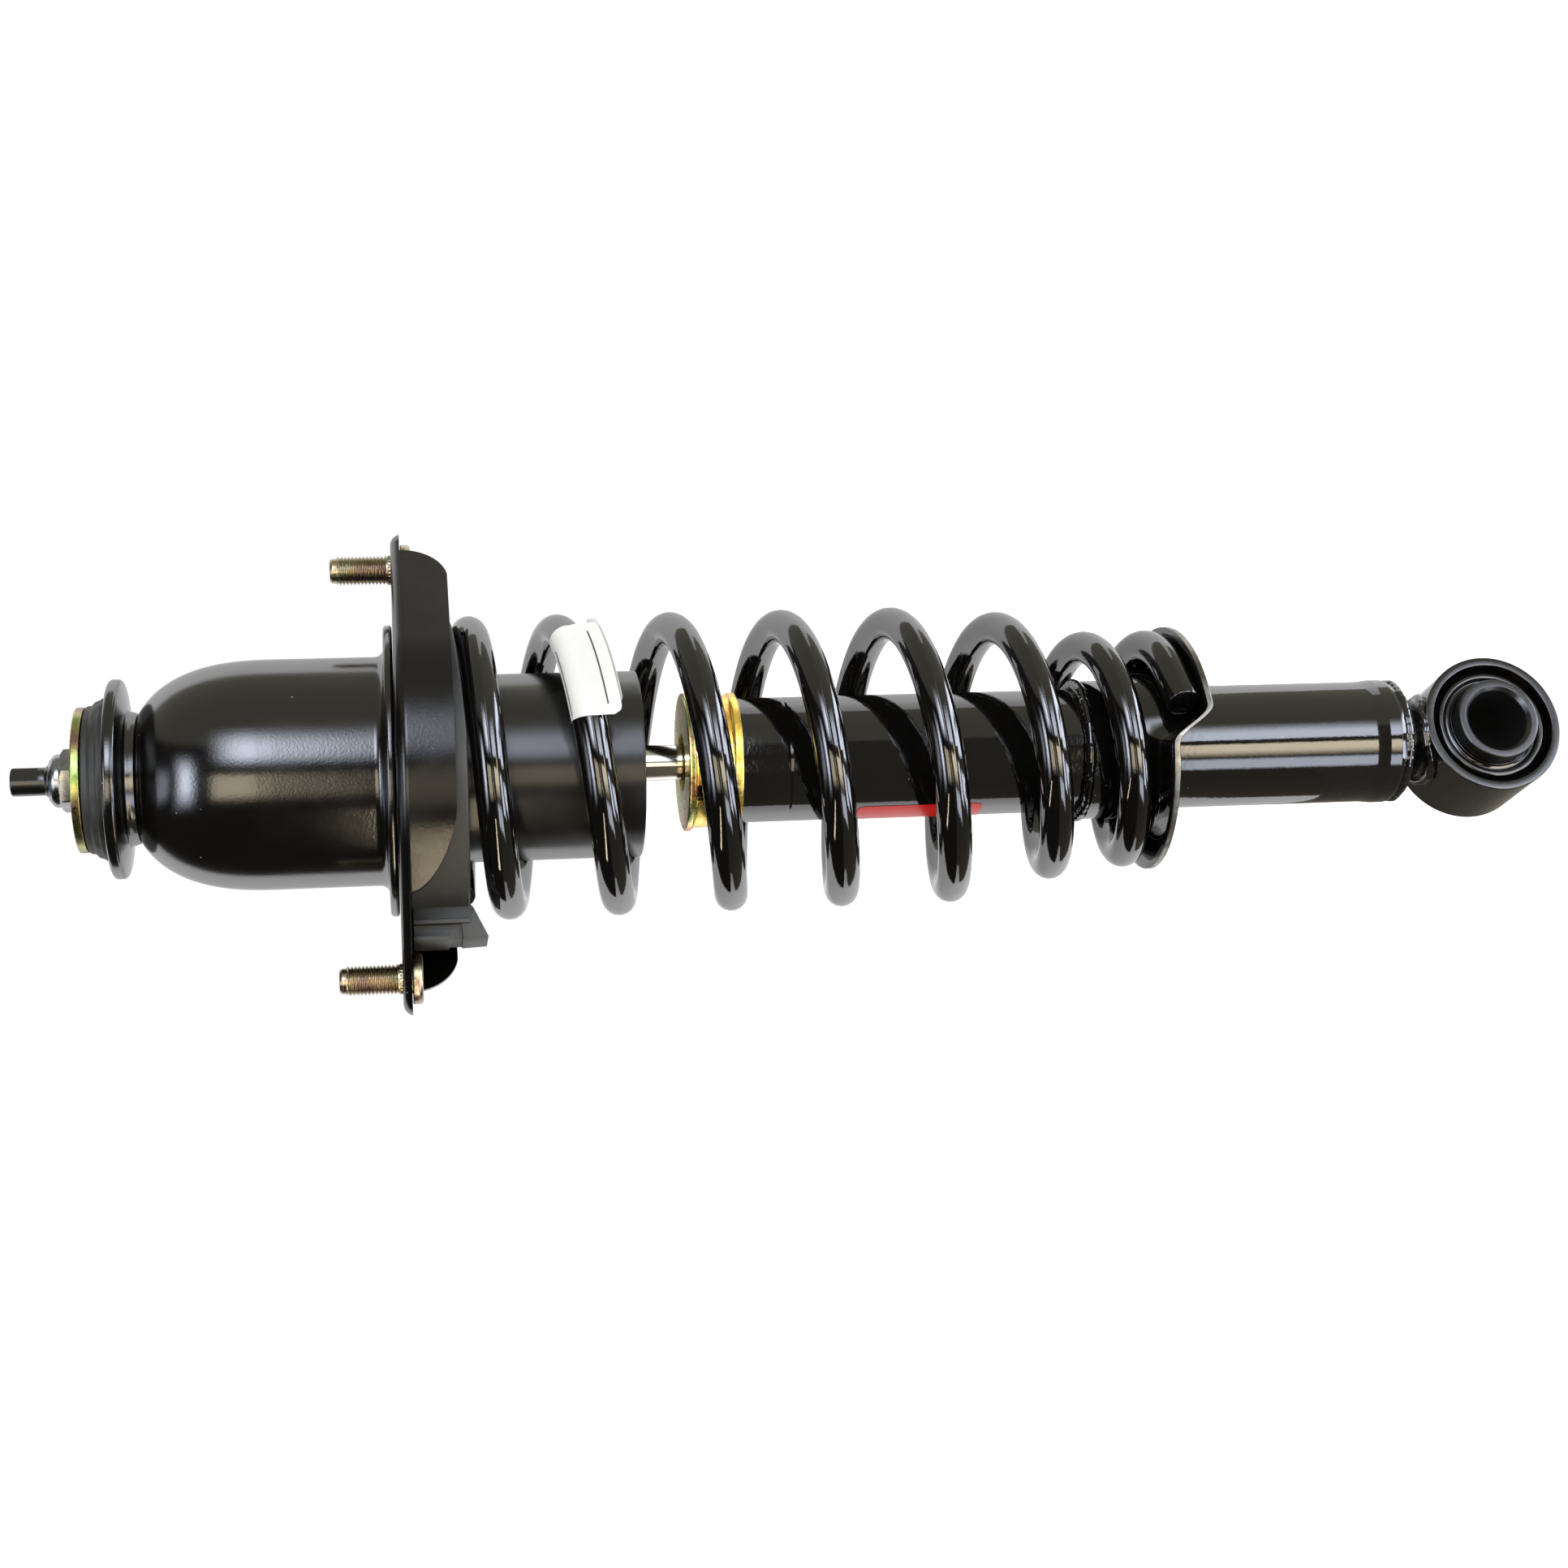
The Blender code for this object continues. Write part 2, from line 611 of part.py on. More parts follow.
def make_cup(parent):
    """Stamped cup on the bell's top: floor, S-shaped neck and a thick rolled rim."""
    neck = dome_radius(BELL_TOP) + 0.0002
    rim_top = CUP_SEAT + CUP_RIM_HEIGHT
    rim_under = rim_top - CUP_RIM_THICKNESS
    corners = [(CUP_RIM_RADIUS, rim_top, 0.0015), (CUP_RIM_RADIUS, rim_under, 0.0015),
               (neck + 0.0052, rim_under - 0.0005, 0.004), (neck, CUP_SEAT + 0.0012, 0.003),
               (neck - 0.0006, CUP_SEAT, 0.0005), (MOUNT_BORE, CUP_SEAT), (MOUNT_BORE, CUP_FLOOR),
               (neck - CUP_SHEET, CUP_FLOOR, 0.0012), (neck + 0.0035, rim_top - 0.0010, 0.004),
               (neck + 0.0068, rim_top, 0.0010)]
    turned("cushion_cup", corners, "black_paint", parent, ROUND_LARGE)


def make_top_cushion(parent):
    """Rubber cushion that fills the cup and bulges between its rim and the washer."""
    neck = dome_radius(BELL_TOP) + 0.0002
    rim_top = CUP_SEAT + CUP_RIM_HEIGHT
    top = CUSHION_BASE + TOP_CUSHION_HEIGHT
    inner = SLEEVE_RADIUS + CLEAR
    corners = [(TOP_CUSHION_RADIUS, top, 0.0010), (TOP_CUSHION_RADIUS + 0.0003, top - 0.0020, 0.002),
               (TOP_CUSHION_LIP, rim_top + 0.0021, 0.0015), (TOP_CUSHION_LIP, rim_top + 0.0006, 0.0008),
               (neck + 0.0030, rim_top - 0.0005, 0.002), (neck - CUP_SHEET - 0.0006, CUSHION_BASE + 0.0006),
               (neck - CUP_SHEET - 0.0010, CUSHION_BASE), (inner, CUSHION_BASE), (inner, top)]
    turned("upper_cushion", corners, "rubber", parent)


def make_low_cushion(parent):
    """Rubber cushion under the bell's top, with the spigot that centres it in the hole."""
    inner = SLEEVE_RADIUS + CLEAR
    spigot = MOUNT_BORE - CLEAR
    spigot_top = CUSHION_BASE - CLEAR
    corners = [(spigot, spigot_top, 0.0008), (spigot, LOW_CUSHION_TOP),
               (LOW_CUSHION_RADIUS, LOW_CUSHION_TOP, 0.003), (LOW_CUSHION_RADIUS, LOW_CUSHION_BASE, 0.003),
               (inner, LOW_CUSHION_BASE), (inner, spigot_top)]
    turned("lower_cushion", corners, "rubber", parent)


def make_washers(parent):
    top = WASHER_BASE + TOP_WASHER_THICKNESS
    turned("upper_washer", ring_corners(SHANK_BORE, TOP_WASHER_RADIUS, top, WASHER_BASE, 0.0006),
           "yellow_zinc", parent, ROUND_LARGE)
    turned("lower_washer", ring_corners(SHANK_BORE, LOW_WASHER_RADIUS, LOW_WASHER_TOP, LOW_WASHER_BASE, 0.0005),
           "clear_zinc", parent)
    sleeve_top = WASHER_BASE - CLEAR
    sleeve_base = LOW_WASHER_TOP + CLEAR
    turned("spacer_sleeve", ring_corners(SHANK_BORE, SLEEVE_RADIUS, sleeve_top, sleeve_base),
           "clear_zinc", parent, ROUND_SMALL)


def make_nut(parent):
    """Locking nut: a hexagon with chamfered corners under a domed collar."""
    hex_top = NUT_BASE + NUT_HEX_HEIGHT
    outline = hexagon(NUT_ACROSS_FLATS, math.pi / 6.0)
    nut = add_part("rod_nut", prism_mesh("rod_nut", outline, NUT_BASE, hex_top), "clear_zinc", parent)
    corner_radius = NUT_ACROSS_FLATS / 2.0 / math.cos(math.pi / 6.0) + 0.0002
    chamfer = [(0.0, hex_top + 0.0002), (NUT_ACROSS_FLATS / 2.0, hex_top + 0.0002),
               (corner_radius, hex_top - 0.0012), (corner_radius, NUT_BASE - 0.001), (0.0, NUT_BASE - 0.001)]
    boolean(nut, turned_cutter("hexagon chamfer", chamfer, closed=False), "INTERSECT")
    collar = [(0.0, NUT_TOP), (SHANK_RADIUS + 0.0015, NUT_TOP), (NUT_COLLAR_RADIUS - 0.0009, NUT_TOP - 0.0010),
              (NUT_COLLAR_RADIUS, NUT_TOP - 0.0024), (NUT_COLLAR_RADIUS, NUT_BASE + 0.001),
              (0.0, NUT_BASE + 0.001)]
    boolean(nut, turned_cutter("locking collar", collar, closed=False), "UNION")
    bore = [(0.0, NUT_TOP + 0.001), (SHANK_BORE, NUT_TOP + 0.001), (SHANK_BORE, NUT_BASE - 0.001),
            (0.0, NUT_BASE - 0.001)]
    boolean(nut, turned_cutter("nut bore", bore, ROUND_SMALL, closed=False))


def make_rod(parent):
    """Chromed rod with a threaded shank, a flatted tip above the nut, and the piston's post below."""
    corners = [(0.0, ROD_TIP), (STEM_RADIUS, ROD_TIP, 0.0006), (STEM_RADIUS, NUT_TOP - 0.0005),
               (SHANK_RADIUS, NUT_TOP - 0.0015), (SHANK_RADIUS, ROD_SHOULDER), (ROD_RADIUS, ROD_SHOULDER),
               (ROD_RADIUS, PISTON_TOP + CLEAR), (PISTON_POST_RADIUS, PISTON_TOP + CLEAR),
               (PISTON_POST_RADIUS, POST_END, 0.0005), (0.0, POST_END)]
    rod = turned("piston_rod", corners, "hard_chrome", parent, ROUND_MID, closed=False)
    for side in (-1.0, 1.0):
        half = STEM_FLATS / 2.0
        width = STEM_RADIUS * 1.5
        outline = [(-width, half), (width, half), (width, width), (-width, width)]
        mesh = prism_mesh("wrench flat", outline, ROD_TIP - STEM_FLATS_LENGTH, ROD_TIP + 0.002)
        if side < 0.0:
            mesh.transform(Matrix.Rotation(math.pi, 4, "Z"))
        boolean(rod, add_cutter("wrench flat", mesh, parent))


def make_dust_cover(parent):
    """Long plastic sleeve, closed at the top round the rod, open below."""
    base = DUST_TOP - DUST_LENGTH
    inner = DUST_RADIUS - DUST_WALL
    corners = [(SHANK_BORE, DUST_TOP), (DUST_RADIUS, DUST_TOP, 0.0045), (DUST_RADIUS, base),
               (inner, base), (inner, DUST_UNDER, 0.0030), (SHANK_BORE, DUST_UNDER)]
    turned("dust_cover", corners, "black_plastic", parent, ROUND_LARGE)


def make_bump_stop(parent):
    """Foam stop with waists between its lobes, in a shallow steel cup."""
    cup_base = STOP_CUP_TOP - STOP_CUP_DEPTH
    cup_inner = STOP_CUP_RADIUS - STOP_CUP_SHEET
    cup = [(SHANK_BORE, STOP_CUP_TOP), (STOP_CUP_RADIUS, STOP_CUP_TOP, 0.003), (STOP_CUP_RADIUS, cup_base),
           (cup_inner, cup_base), (cup_inner, STOP_CUP_UNDER, 0.0015), (SHANK_BORE, STOP_CUP_UNDER)]
    turned("bump_stop_cup", cup, "black_paint", parent)
    inner = ROD_RADIUS + RUN_CLEAR
    base = BUMP_STOP_TOP - BUMP_STOP_LENGTH
    waist_radius = BUMP_STOP_RADIUS - WAIST_DEPTH
    corners = [(BUMP_STOP_RADIUS, BUMP_STOP_TOP, 0.0012)]
    first_waist = STOP_CUP_DEPTH + 0.004
    spacing = (BUMP_STOP_LENGTH - first_waist - 0.006) / BUMP_STOP_WAISTS
    for waist in range(BUMP_STOP_WAISTS):
        level = BUMP_STOP_TOP - first_waist - spacing * waist
        taper = 0.0012 * waist
        corners += [(BUMP_STOP_RADIUS - taper, level + 0.003), (waist_radius - taper, level, 0.002),
                    (BUMP_STOP_RADIUS - taper, level - 0.003)]
    corners += [(BUMP_STOP_RADIUS - 0.006, base, 0.002), (inner, base), (inner, BUMP_STOP_TOP)]
    turned("bump_stop", corners, "foam", parent, ROUND_SMALL)


# ---------------------------------------------------------------- spring and its seats
def make_spring(parent):
    points = wire_path()
    print("coil_spring: least gap to itself %.2f mm" % (least_gap(points) * 1000.0))
    curve = bpy.data.curves.new("coil_spring", "CURVE")
    curve.dimensions = "3D"
    curve.bevel_depth = WIRE_RADIUS
    curve.bevel_resolution = 1
    curve.use_fill_caps = True
    spline = curve.splines.new("POLY")
    spline.points.add(len(points) - 1)
    for target, point in zip(spline.points, points):
        target.co = (*point, 1.0)
    add_part("coil_spring", curve, "gloss_black", parent)


def make_insulator(parent):
    """Rubber ring under the flange. Its lower face is the ramp that the first turn lies against."""
    top = FLANGE_UNDER - CLEAR
    low = top - INSULATOR_DEPTH
    turned("upper_insulator", [(INSULATOR_INNER, top), (INSULATOR_OUTER, top), (INSULATOR_OUTER, low, 0.0012),
                               (INSULATOR_INNER, low)], "rubber", parent, SEAT_FACETS)
    insulator = bpy.data.objects["upper_insulator"]
    bake(insulator)
    middle = (top + low) / 2.0
    ear_angle = STUD_LINE_ANGLE + math.pi
    first = START_TURN - 1.5 / SEAT_FACETS
    for vert in insulator.data.vertices:
        x, y, z = vert.co
        radius = math.hypot(x, y)
        if z < middle:
            turn = turn_of(x, y, first)
            under = -wire_drop(turn) + WIRE_RADIUS + CLEAR * 2.0
            vert.co.z = under + (z - low) * 0.5
        off_ear = math.atan2(y, x) - ear_angle
        off_ear = abs(math.atan2(math.sin(off_ear), math.cos(off_ear)))
        if radius > (INSULATOR_INNER + INSULATOR_OUTER) / 2.0 and off_ear < EAR_HALF_ANGLE:
            stretch = 1.0 + EAR_REACH / radius
            vert.co.x *= stretch
            vert.co.y *= stretch


def seat_level(turn):
    """Level of the seat's upper face under the wire's centre line, at the last turn."""
    bearing = turn
    if turn < SEAT_CONTACT_TURN:
        bearing = SEAT_CONTACT_TURN - (SEAT_CONTACT_TURN - turn) * SEAT_RISE_SHARE
    if turn > STEP_START_TURN:
        lowest = seat_level(STEP_START_TURN)
        highest = seat_level(STEP_END_TURN - 1.0)
        share = (turn - STEP_START_TURN) / (STEP_END_TURN - STEP_START_TURN)
        return lowest + (highest - lowest) * smoothstep(share)
    return -wire_drop(bearing) - WIRE_RADIUS - CLEAR


def make_seat(parent):
    """Pressed seat: collar welded round the tube, trumpet, and a pan that climbs with the wire."""
    level = seat_level(SEAT_CONTACT_TURN)
    collar_inner = TUBE_RADIUS + CLEAR
    collar = collar_inner + SEAT_COLLAR_WALL
    collar_top = level + SEAT_TRUMPET_HEIGHT + SEAT_COLLAR_LENGTH
    trumpet_top = level + SEAT_TRUMPET_HEIGHT
    pan_inner = collar + 0.0055
    corners = [(collar, collar_top), (collar + SEAT_BEAD_RADIUS, collar_top - 0.0010),
               (collar + SEAT_BEAD_RADIUS, collar_top - 0.0030), (collar, collar_top - 0.0042),
               (collar, trumpet_top, 0.004), (collar + 0.0012, level + 0.0065, 0.005),
               (pan_inner, level, 0.004), (SEAT_RIM_RADIUS - 0.002, level), (SEAT_RIM_RADIUS, level - 0.0004),
               (SEAT_RIM_RADIUS, level - SEAT_SHEET, 0.0004), (pan_inner, level - SEAT_SHEET, 0.004),
               (collar_inner, trumpet_top - 0.0052, 0.006), (collar_inner, collar_top)]
    seat = turned("lower_spring_seat", corners, "black_paint", parent, SEAT_FACETS)
    bake(seat)
    for vert in seat.data.vertices:
        x, y, _ = vert.co
        share = smoothstep((math.hypot(x, y) - collar - 0.0010) / (pan_inner - collar - 0.0010))
        turn = turn_of(x, y, STEP_END_TURN - 1.0)
        vert.co.z += (seat_level(turn) - level) * share


# ---------------------------------------------------------------- damper pieces
def make_tube(parent):
    """Reservoir tube, flared where the end cap is welded in."""
    flare_top = TUBE_END + FLARE_LENGTH
    corners = [(TUBE_BORE, TUBE_TOP), (TUBE_RADIUS, TUBE_TOP, 0.0006), (TUBE_RADIUS, flare_top + 0.003, 0.004),
               (FLARE_RADIUS, flare_top - 0.001, 0.002), (FLARE_RADIUS, TUBE_END + 0.002, 0.0015),
               (TUBE_RADIUS, TUBE_END, 0.0006), (TUBE_BORE, TUBE_END)]
    turned("outer_tube", corners, "gloss_black", parent, ROUND_LARGE)


def make_bumper_cap(parent):
    """Plated cap over the tube's end: a disc that meets the bump stop, and a skirt round the tube."""
    skirt = CAP_SKIRT_BORE + CAP_SKIRT_WALL
    skirt_base = CAP_UNDER - CAP_SKIRT_LENGTH
    corners = [(CAP_HOLE_RADIUS, CAP_TOP), (CAP_RADIUS, CAP_TOP, 0.0008), (CAP_RADIUS, CAP_UNDER, 0.0006),
               (skirt, CAP_UNDER - 0.0006, 0.0006), (skirt, skirt_base), (CAP_SKIRT_BORE, skirt_base),
               (CAP_SKIRT_BORE, CAP_UNDER), (CAP_HOLE_RADIUS, CAP_UNDER)]
    cap = turned("bumper_cap", corners, "yellow_zinc", parent, ROUND_LARGE)
    middle = (CAP_HOLE_RADIUS + CAP_SKIRT_BORE) / 2.0
    for side in (0.0, math.pi):
        half = CAP_SLOT_WIDTH / 2.0
        outline = [(middle - half, -CAP_SLOT_LENGTH / 2.0), (middle + half, -CAP_SLOT_LENGTH / 2.0),
                   (middle + half, CAP_SLOT_LENGTH / 2.0), (middle - half, CAP_SLOT_LENGTH / 2.0)]
        mesh = prism_mesh("drain slot", outline, CAP_UNDER - 0.001, CAP_TOP + 0.001)
        mesh.transform(Matrix.Rotation(side, 4, "Z"))
        boolean(cap, add_cutter("drain slot", mesh, parent))


def make_damper_inside(parent):
    """Guide, seal, pressure tube and base valve, which stay with the tube."""
    running = ROD_RADIUS + RUN_CLEAR
    turned("rod_seal", ring_corners(running, SEAL_RADIUS, SEAL_TOP, SEAL_TOP - SEAL_HEIGHT, 0.0005),
           "rubber", parent)
    spigot_top = GUIDE_UNDER + GUIDE_SPIGOT_LENGTH
    guide_radius = TUBE_BORE - CLEAR
    guide = [(running, GUIDE_TOP), (guide_radius, GUIDE_TOP, 0.0006), (guide_radius, spigot_top),
             (GUIDE_SPIGOT_RADIUS, spigot_top), (GUIDE_SPIGOT_RADIUS, GUIDE_UNDER, 0.0006),
             (running, GUIDE_UNDER)]
    turned("rod_guide", guide, "bare_steel", parent)
    base_step = BASE_VALVE_TOP - 0.005
    pressure = PRESSURE_BORE + PRESSURE_WALL
    turned("pressure_tube", ring_corners(PRESSURE_BORE, pressure, PRESSURE_TOP, base_step + CLEAR),
           "bare_steel", parent)
    plug = PRESSURE_BORE - CLEAR
    base = BASE_VALVE_TOP - BASE_VALVE_HEIGHT
    valve = [(0.0, BASE_VALVE_TOP - 0.001), (0.004, BASE_VALVE_TOP - 0.001), (0.004, BASE_VALVE_TOP),
             (plug, BASE_VALVE_TOP, 0.0006), (plug, base_step), (TUBE_BORE - 0.001, base_step, 0.0008),
             (TUBE_BORE - 0.001, base), (0.0, base)]
    turned("base_valve", valve, "bare_steel", parent, closed=False)


def make_piston(parent):
    """Piston, its band, valve discs, nut and the rebound stop, which stay with the rod."""
    bore = PISTON_POST_RADIUS + CLEAR
    body = PRESSURE_BORE - RUN_CLEAR
    groove = body - BAND_THICKNESS - CLEAR
    band_top = PISTON_TOP - (PISTON_HEIGHT - BAND_HEIGHT) / 2.0
    band_base = band_top - BAND_HEIGHT
    piston_base = PISTON_TOP - PISTON_HEIGHT
    piston = [(bore, PISTON_TOP), (body, PISTON_TOP, 0.0005), (body, band_top + CLEAR),
              (groove, band_top + CLEAR), (groove, band_base - CLEAR), (body, band_base - CLEAR),
              (body, piston_base, 0.0005), (bore, piston_base)]
    turned("piston", piston, "bare_steel", parent)
    turned("piston_band", ring_corners(groove + CLEAR, body, band_top, band_base), "ptfe", parent)
    discs_top = piston_base - CLEAR
    discs_base = discs_top - VALVE_STACK_HEIGHT
    turned("valve_discs", ring_corners(bore, VALVE_STACK_RADIUS, discs_top, discs_base), "bare_steel",
           parent, ROUND_SMALL)
    nut_top = discs_base - CLEAR
    nut_base = nut_top - PISTON_NUT_HEIGHT
    outline = hexagon(PISTON_NUT_ACROSS, 0.0)
    nut = add_part("piston_nut", prism_mesh("piston_nut", outline, nut_base, nut_top), "bare_steel", parent)
    hole = [(0.0, nut_top + 0.001), (bore, nut_top + 0.001), (bore, nut_base - 0.001), (0.0, nut_base - 0.001)]
    boolean(nut, turned_cutter("piston nut bore", hole, ROUND_SMALL, closed=False))
    stop_top = GUIDE_UNDER - CLEAR
    turned("rebound_stop", ring_corners(ROD_RADIUS + CLEAR, REBOUND_STOP_RADIUS, stop_top,
                                        stop_top - REBOUND_STOP_HEIGHT, 0.0010),
           "rubber", parent, ROUND_SMALL)


def make_end_cap(parent):
    """Domed end welded into the tube, with the neck that carries the eye."""
    plug = TUBE_BORE - CLEAR
    shoulder = TUBE_END - CLEAR
    dome_base = shoulder - END_CAP_DOME
    neck_base = EYE_CENTRE_Z + EYE_RADIUS - 0.006
    corners = [(0.0, END_CAP_TOP), (plug, END_CAP_TOP, 0.0010), (plug, shoulder),
               (TUBE_RADIUS - 0.0006, shoulder), (TUBE_RADIUS - 0.0014, shoulder - 0.0020, 0.002),
               (NECK_RADIUS + 0.0015, dome_base, 0.004), (NECK_RADIUS, dome_base - 0.002, 0.002),
               (NECK_RADIUS, neck_base), (0.0, neck_base)]
    cap = turned("end_cap", corners, "gloss_black", parent, ROUND_MID, closed=False)
    round_bar = EYE_RADIUS + CLEAR
    half = EYE_LENGTH
    cutter = turned_cutter("eye seat", [(0.0, half), (round_bar, half), (round_bar, -half), (0.0, -half)],
                           ROUND_LARGE, closed=False)
    cutter.location = (0.0, 0.0, EYE_CENTRE_Z)
    cutter.rotation_euler = (math.pi / 2.0, 0.0, 0.0)
    boolean(cap, cutter)


def make_eye(parent, sleeve_axis):
    """Ring across the damper's axis, its rubber bush, and the steel sleeve that the bolt clamps."""
    lie = (math.pi / 2.0, 0.0, 0.0)
    half = EYE_LENGTH / 2.0
    ring_bore = EYE_RADIUS - EYE_WALL
    ring = turned("eye_ring", ring_corners(ring_bore, EYE_RADIUS, half, -half, 0.0004), "gloss_black",
                  parent, ROUND_LARGE)
    bush_outer = ring_bore - CLEAR
    bush_inner = INNER_SLEEVE_RADIUS + CLEAR
    face = half - BUSH_INSET
    lip = bush_outer - 0.0024
    root = face - BUSH_GROOVE
    corners = [(bush_outer, root), (bush_outer, -root), (lip, -root), (lip, -face, 0.0008),
               (bush_inner, -face), (bush_inner, face), (lip, face, 0.0008), (lip, root)]
    bush = turned("eye_bush", corners, "rubber", parent, ROUND_LARGE)
    sleeve_half = INNER_SLEEVE_LENGTH / 2.0
    mouth = EYE_BORE_RADIUS + EYE_BORE_CHAMFER
    chamfer = sleeve_half - EYE_BORE_CHAMFER
    corners = [(INNER_SLEEVE_RADIUS, sleeve_half, 0.0006), (INNER_SLEEVE_RADIUS, -sleeve_half, 0.0006),
               (mouth, -sleeve_half), (EYE_BORE_RADIUS, -chamfer), (EYE_BORE_RADIUS, chamfer),
               (mouth, sleeve_half)]
    sleeve = turned("eye_sleeve", corners, "black_oxide", sleeve_axis, ROUND_LARGE)
    for piece in (ring, bush):
        piece.location = (0.0, 0.0, EYE_CENTRE_Z)
        piece.rotation_euler = lie
    sleeve.rotation_euler = lie


def smooth_turned_faces():
    """Smooth the turned faces and keep their edges sharp, as the finished pieces look."""
    for obj in STRUT.objects:
        if obj.type == "MESH" and not any(item.type == "SCREW" for item in obj.modifiers):
            obj.data.shade_smooth()
            obj.data.set_sharp_from_angle(angle=math.radians(35.0))


clear_scene()
STRUT = new_collection("strut_assembly")
CUTTERS = new_collection("cutters")
MOUNT_AXIS = add_axis("mount_axis", (0.0, 0.0, 0.0))
DAMPER_AXIS = add_axis("damper_axis", (0.0, 0.0, 0.0))
SLEEVE_AXIS = add_axis("sleeve_axis", (0.0, 0.0, EYE_CENTRE_Z))
SLEEVE_AXIS.parent = DAMPER_AXIS
STUD_LINE = make_flange(MOUNT_AXIS)
make_studs(STUD_LINE)
make_bell(MOUNT_AXIS)
make_cup(MOUNT_AXIS)
make_top_cushion(MOUNT_AXIS)
make_low_cushion(MOUNT_AXIS)
make_washers(MOUNT_AXIS)
make_nut(MOUNT_AXIS)
make_rod(MOUNT_AXIS)
make_dust_cover(MOUNT_AXIS)
make_bump_stop(MOUNT_AXIS)
make_insulator(MOUNT_AXIS)
make_spring(MOUNT_AXIS)
make_piston(MOUNT_AXIS)
make_tube(DAMPER_AXIS)
make_bumper_cap(DAMPER_AXIS)
make_damper_inside(DAMPER_AXIS)
make_end_cap(DAMPER_AXIS)
make_seat(DAMPER_AXIS)
make_eye(DAMPER_AXIS, SLEEVE_AXIS)
smooth_turned_faces()
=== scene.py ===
"""Looks of a coil-over strut: its finishes, threads, welds, spring, rubber and label.

Every length is in metres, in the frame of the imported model. +Z runs up the damper's axis, and
the photograph is taken from the side, with +Z pointing to the left of the picture.
"""

import math

import bmesh
import bpy
from bpy.props import FloatProperty, FloatVectorProperty, PointerProperty
from mathutils import Matrix, Vector, noise


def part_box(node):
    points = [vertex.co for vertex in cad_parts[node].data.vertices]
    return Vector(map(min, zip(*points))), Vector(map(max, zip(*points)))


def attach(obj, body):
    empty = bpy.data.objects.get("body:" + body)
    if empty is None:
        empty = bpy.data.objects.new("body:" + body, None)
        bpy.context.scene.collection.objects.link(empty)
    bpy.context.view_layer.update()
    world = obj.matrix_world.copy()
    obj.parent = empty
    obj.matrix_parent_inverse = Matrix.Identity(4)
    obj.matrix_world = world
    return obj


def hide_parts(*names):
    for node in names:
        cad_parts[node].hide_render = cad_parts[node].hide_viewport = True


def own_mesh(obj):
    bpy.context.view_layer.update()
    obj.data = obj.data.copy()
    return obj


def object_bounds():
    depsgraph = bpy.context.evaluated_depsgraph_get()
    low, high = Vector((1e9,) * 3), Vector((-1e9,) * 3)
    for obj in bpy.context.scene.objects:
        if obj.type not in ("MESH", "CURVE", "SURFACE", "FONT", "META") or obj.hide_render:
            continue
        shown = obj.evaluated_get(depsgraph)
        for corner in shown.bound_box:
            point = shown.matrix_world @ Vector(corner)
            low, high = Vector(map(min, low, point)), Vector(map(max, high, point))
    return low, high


bl_info = {
    "name": "Coil-over Strut",
    "version": (1, 0, 0),
    "blender": (4, 5, 0),
    "location": "3D View > Sidebar > Strut",
    "description": "Builds the visible surfaces, the finishes and the studio of a coil-over strut",
    "category": "Add Mesh",
}

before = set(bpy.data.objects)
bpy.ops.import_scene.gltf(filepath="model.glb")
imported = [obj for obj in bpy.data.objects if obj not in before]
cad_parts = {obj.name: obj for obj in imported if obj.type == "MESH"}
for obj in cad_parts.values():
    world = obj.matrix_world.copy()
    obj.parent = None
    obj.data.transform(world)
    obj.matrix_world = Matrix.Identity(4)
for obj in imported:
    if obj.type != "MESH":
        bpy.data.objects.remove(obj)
CAD_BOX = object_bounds()


def top_of(node):
    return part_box(node)[1][2]


def base_of(node):
    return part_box(node)[0][2]


def radius_of(node):
    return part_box(node)[1][1]


# ---------------------------------------------------------------- where things lie
ROUND = 128               # facets round a large turned piece
ROUND_SMALL = 64
CLEAR = 0.0003            # the gap that the CAD leaves between touching pieces
MERGE = 0.000001          # points nearer than this are one
UP = (0.0, 0.0, 1.0)
ORIGIN = (0.0, 0.0, 0.0)
ON_ITS_SIDE = Matrix.Rotation(math.pi / 2.0, 3, "X")
STUD_LINE_ANGLE = math.radians(-6.5)
STUD_OFFSET = 0.072       # from the damper's axis to each stud's
STUD_HOLE_RADIUS = 0.0051
EYE_CENTRE_Z = (top_of("eye_ring") + base_of("eye_ring")) / 2.0

# ---------------------------------------------------------------- the camera of the photograph
FRAME_PIXELS = 1932.0
FOCAL_PIXELS = 3000.0
SENSOR_WIDTH = 36.0       # mm
CAMERA_DISTANCE = 0.848
CAMERA_HEIGHT = -0.003
CAMERA_TURN = math.radians(19.0)    # round the damper's axis, from -Y towards -X
CAMERA_TILT = math.radians(8.84)    # towards the lower end
CAMERA_ROLL = math.atan(-0.0304)
HORIZON_PIXEL = 935.3     # height of the optical axis in the photograph
TOWARDS_CAMERA = Vector((-math.sin(CAMERA_TURN), -math.cos(CAMERA_TURN), 0.0))
PICTURE_UP = Vector((math.cos(CAMERA_TURN), -math.sin(CAMERA_TURN), 0.0))


# ---------------------------------------------------------------- colours and nodes
def linear(code):
    """Linear RGBA of an sRGB hex value."""
    channels = [(code >> shift & 255) / 255.0 for shift in (16, 8, 0)]
    return tuple(c / 12.92 if c <= 0.04045 else ((c + 0.055) / 1.055) ** 2.4 for c in channels) + (
        1.0,)


def plug(node, inputs):
    """Set or link a node's inputs. A node that is given stands for its first live output."""
    for key, value in inputs.items():
        if isinstance(value, bpy.types.Node):
            value = next(socket for socket in value.outputs if socket.enabled)
        if isinstance(value, bpy.types.NodeSocket):
            node.id_data.links.new(value, node.inputs[key])
        else:
            node.inputs[key].default_value = value


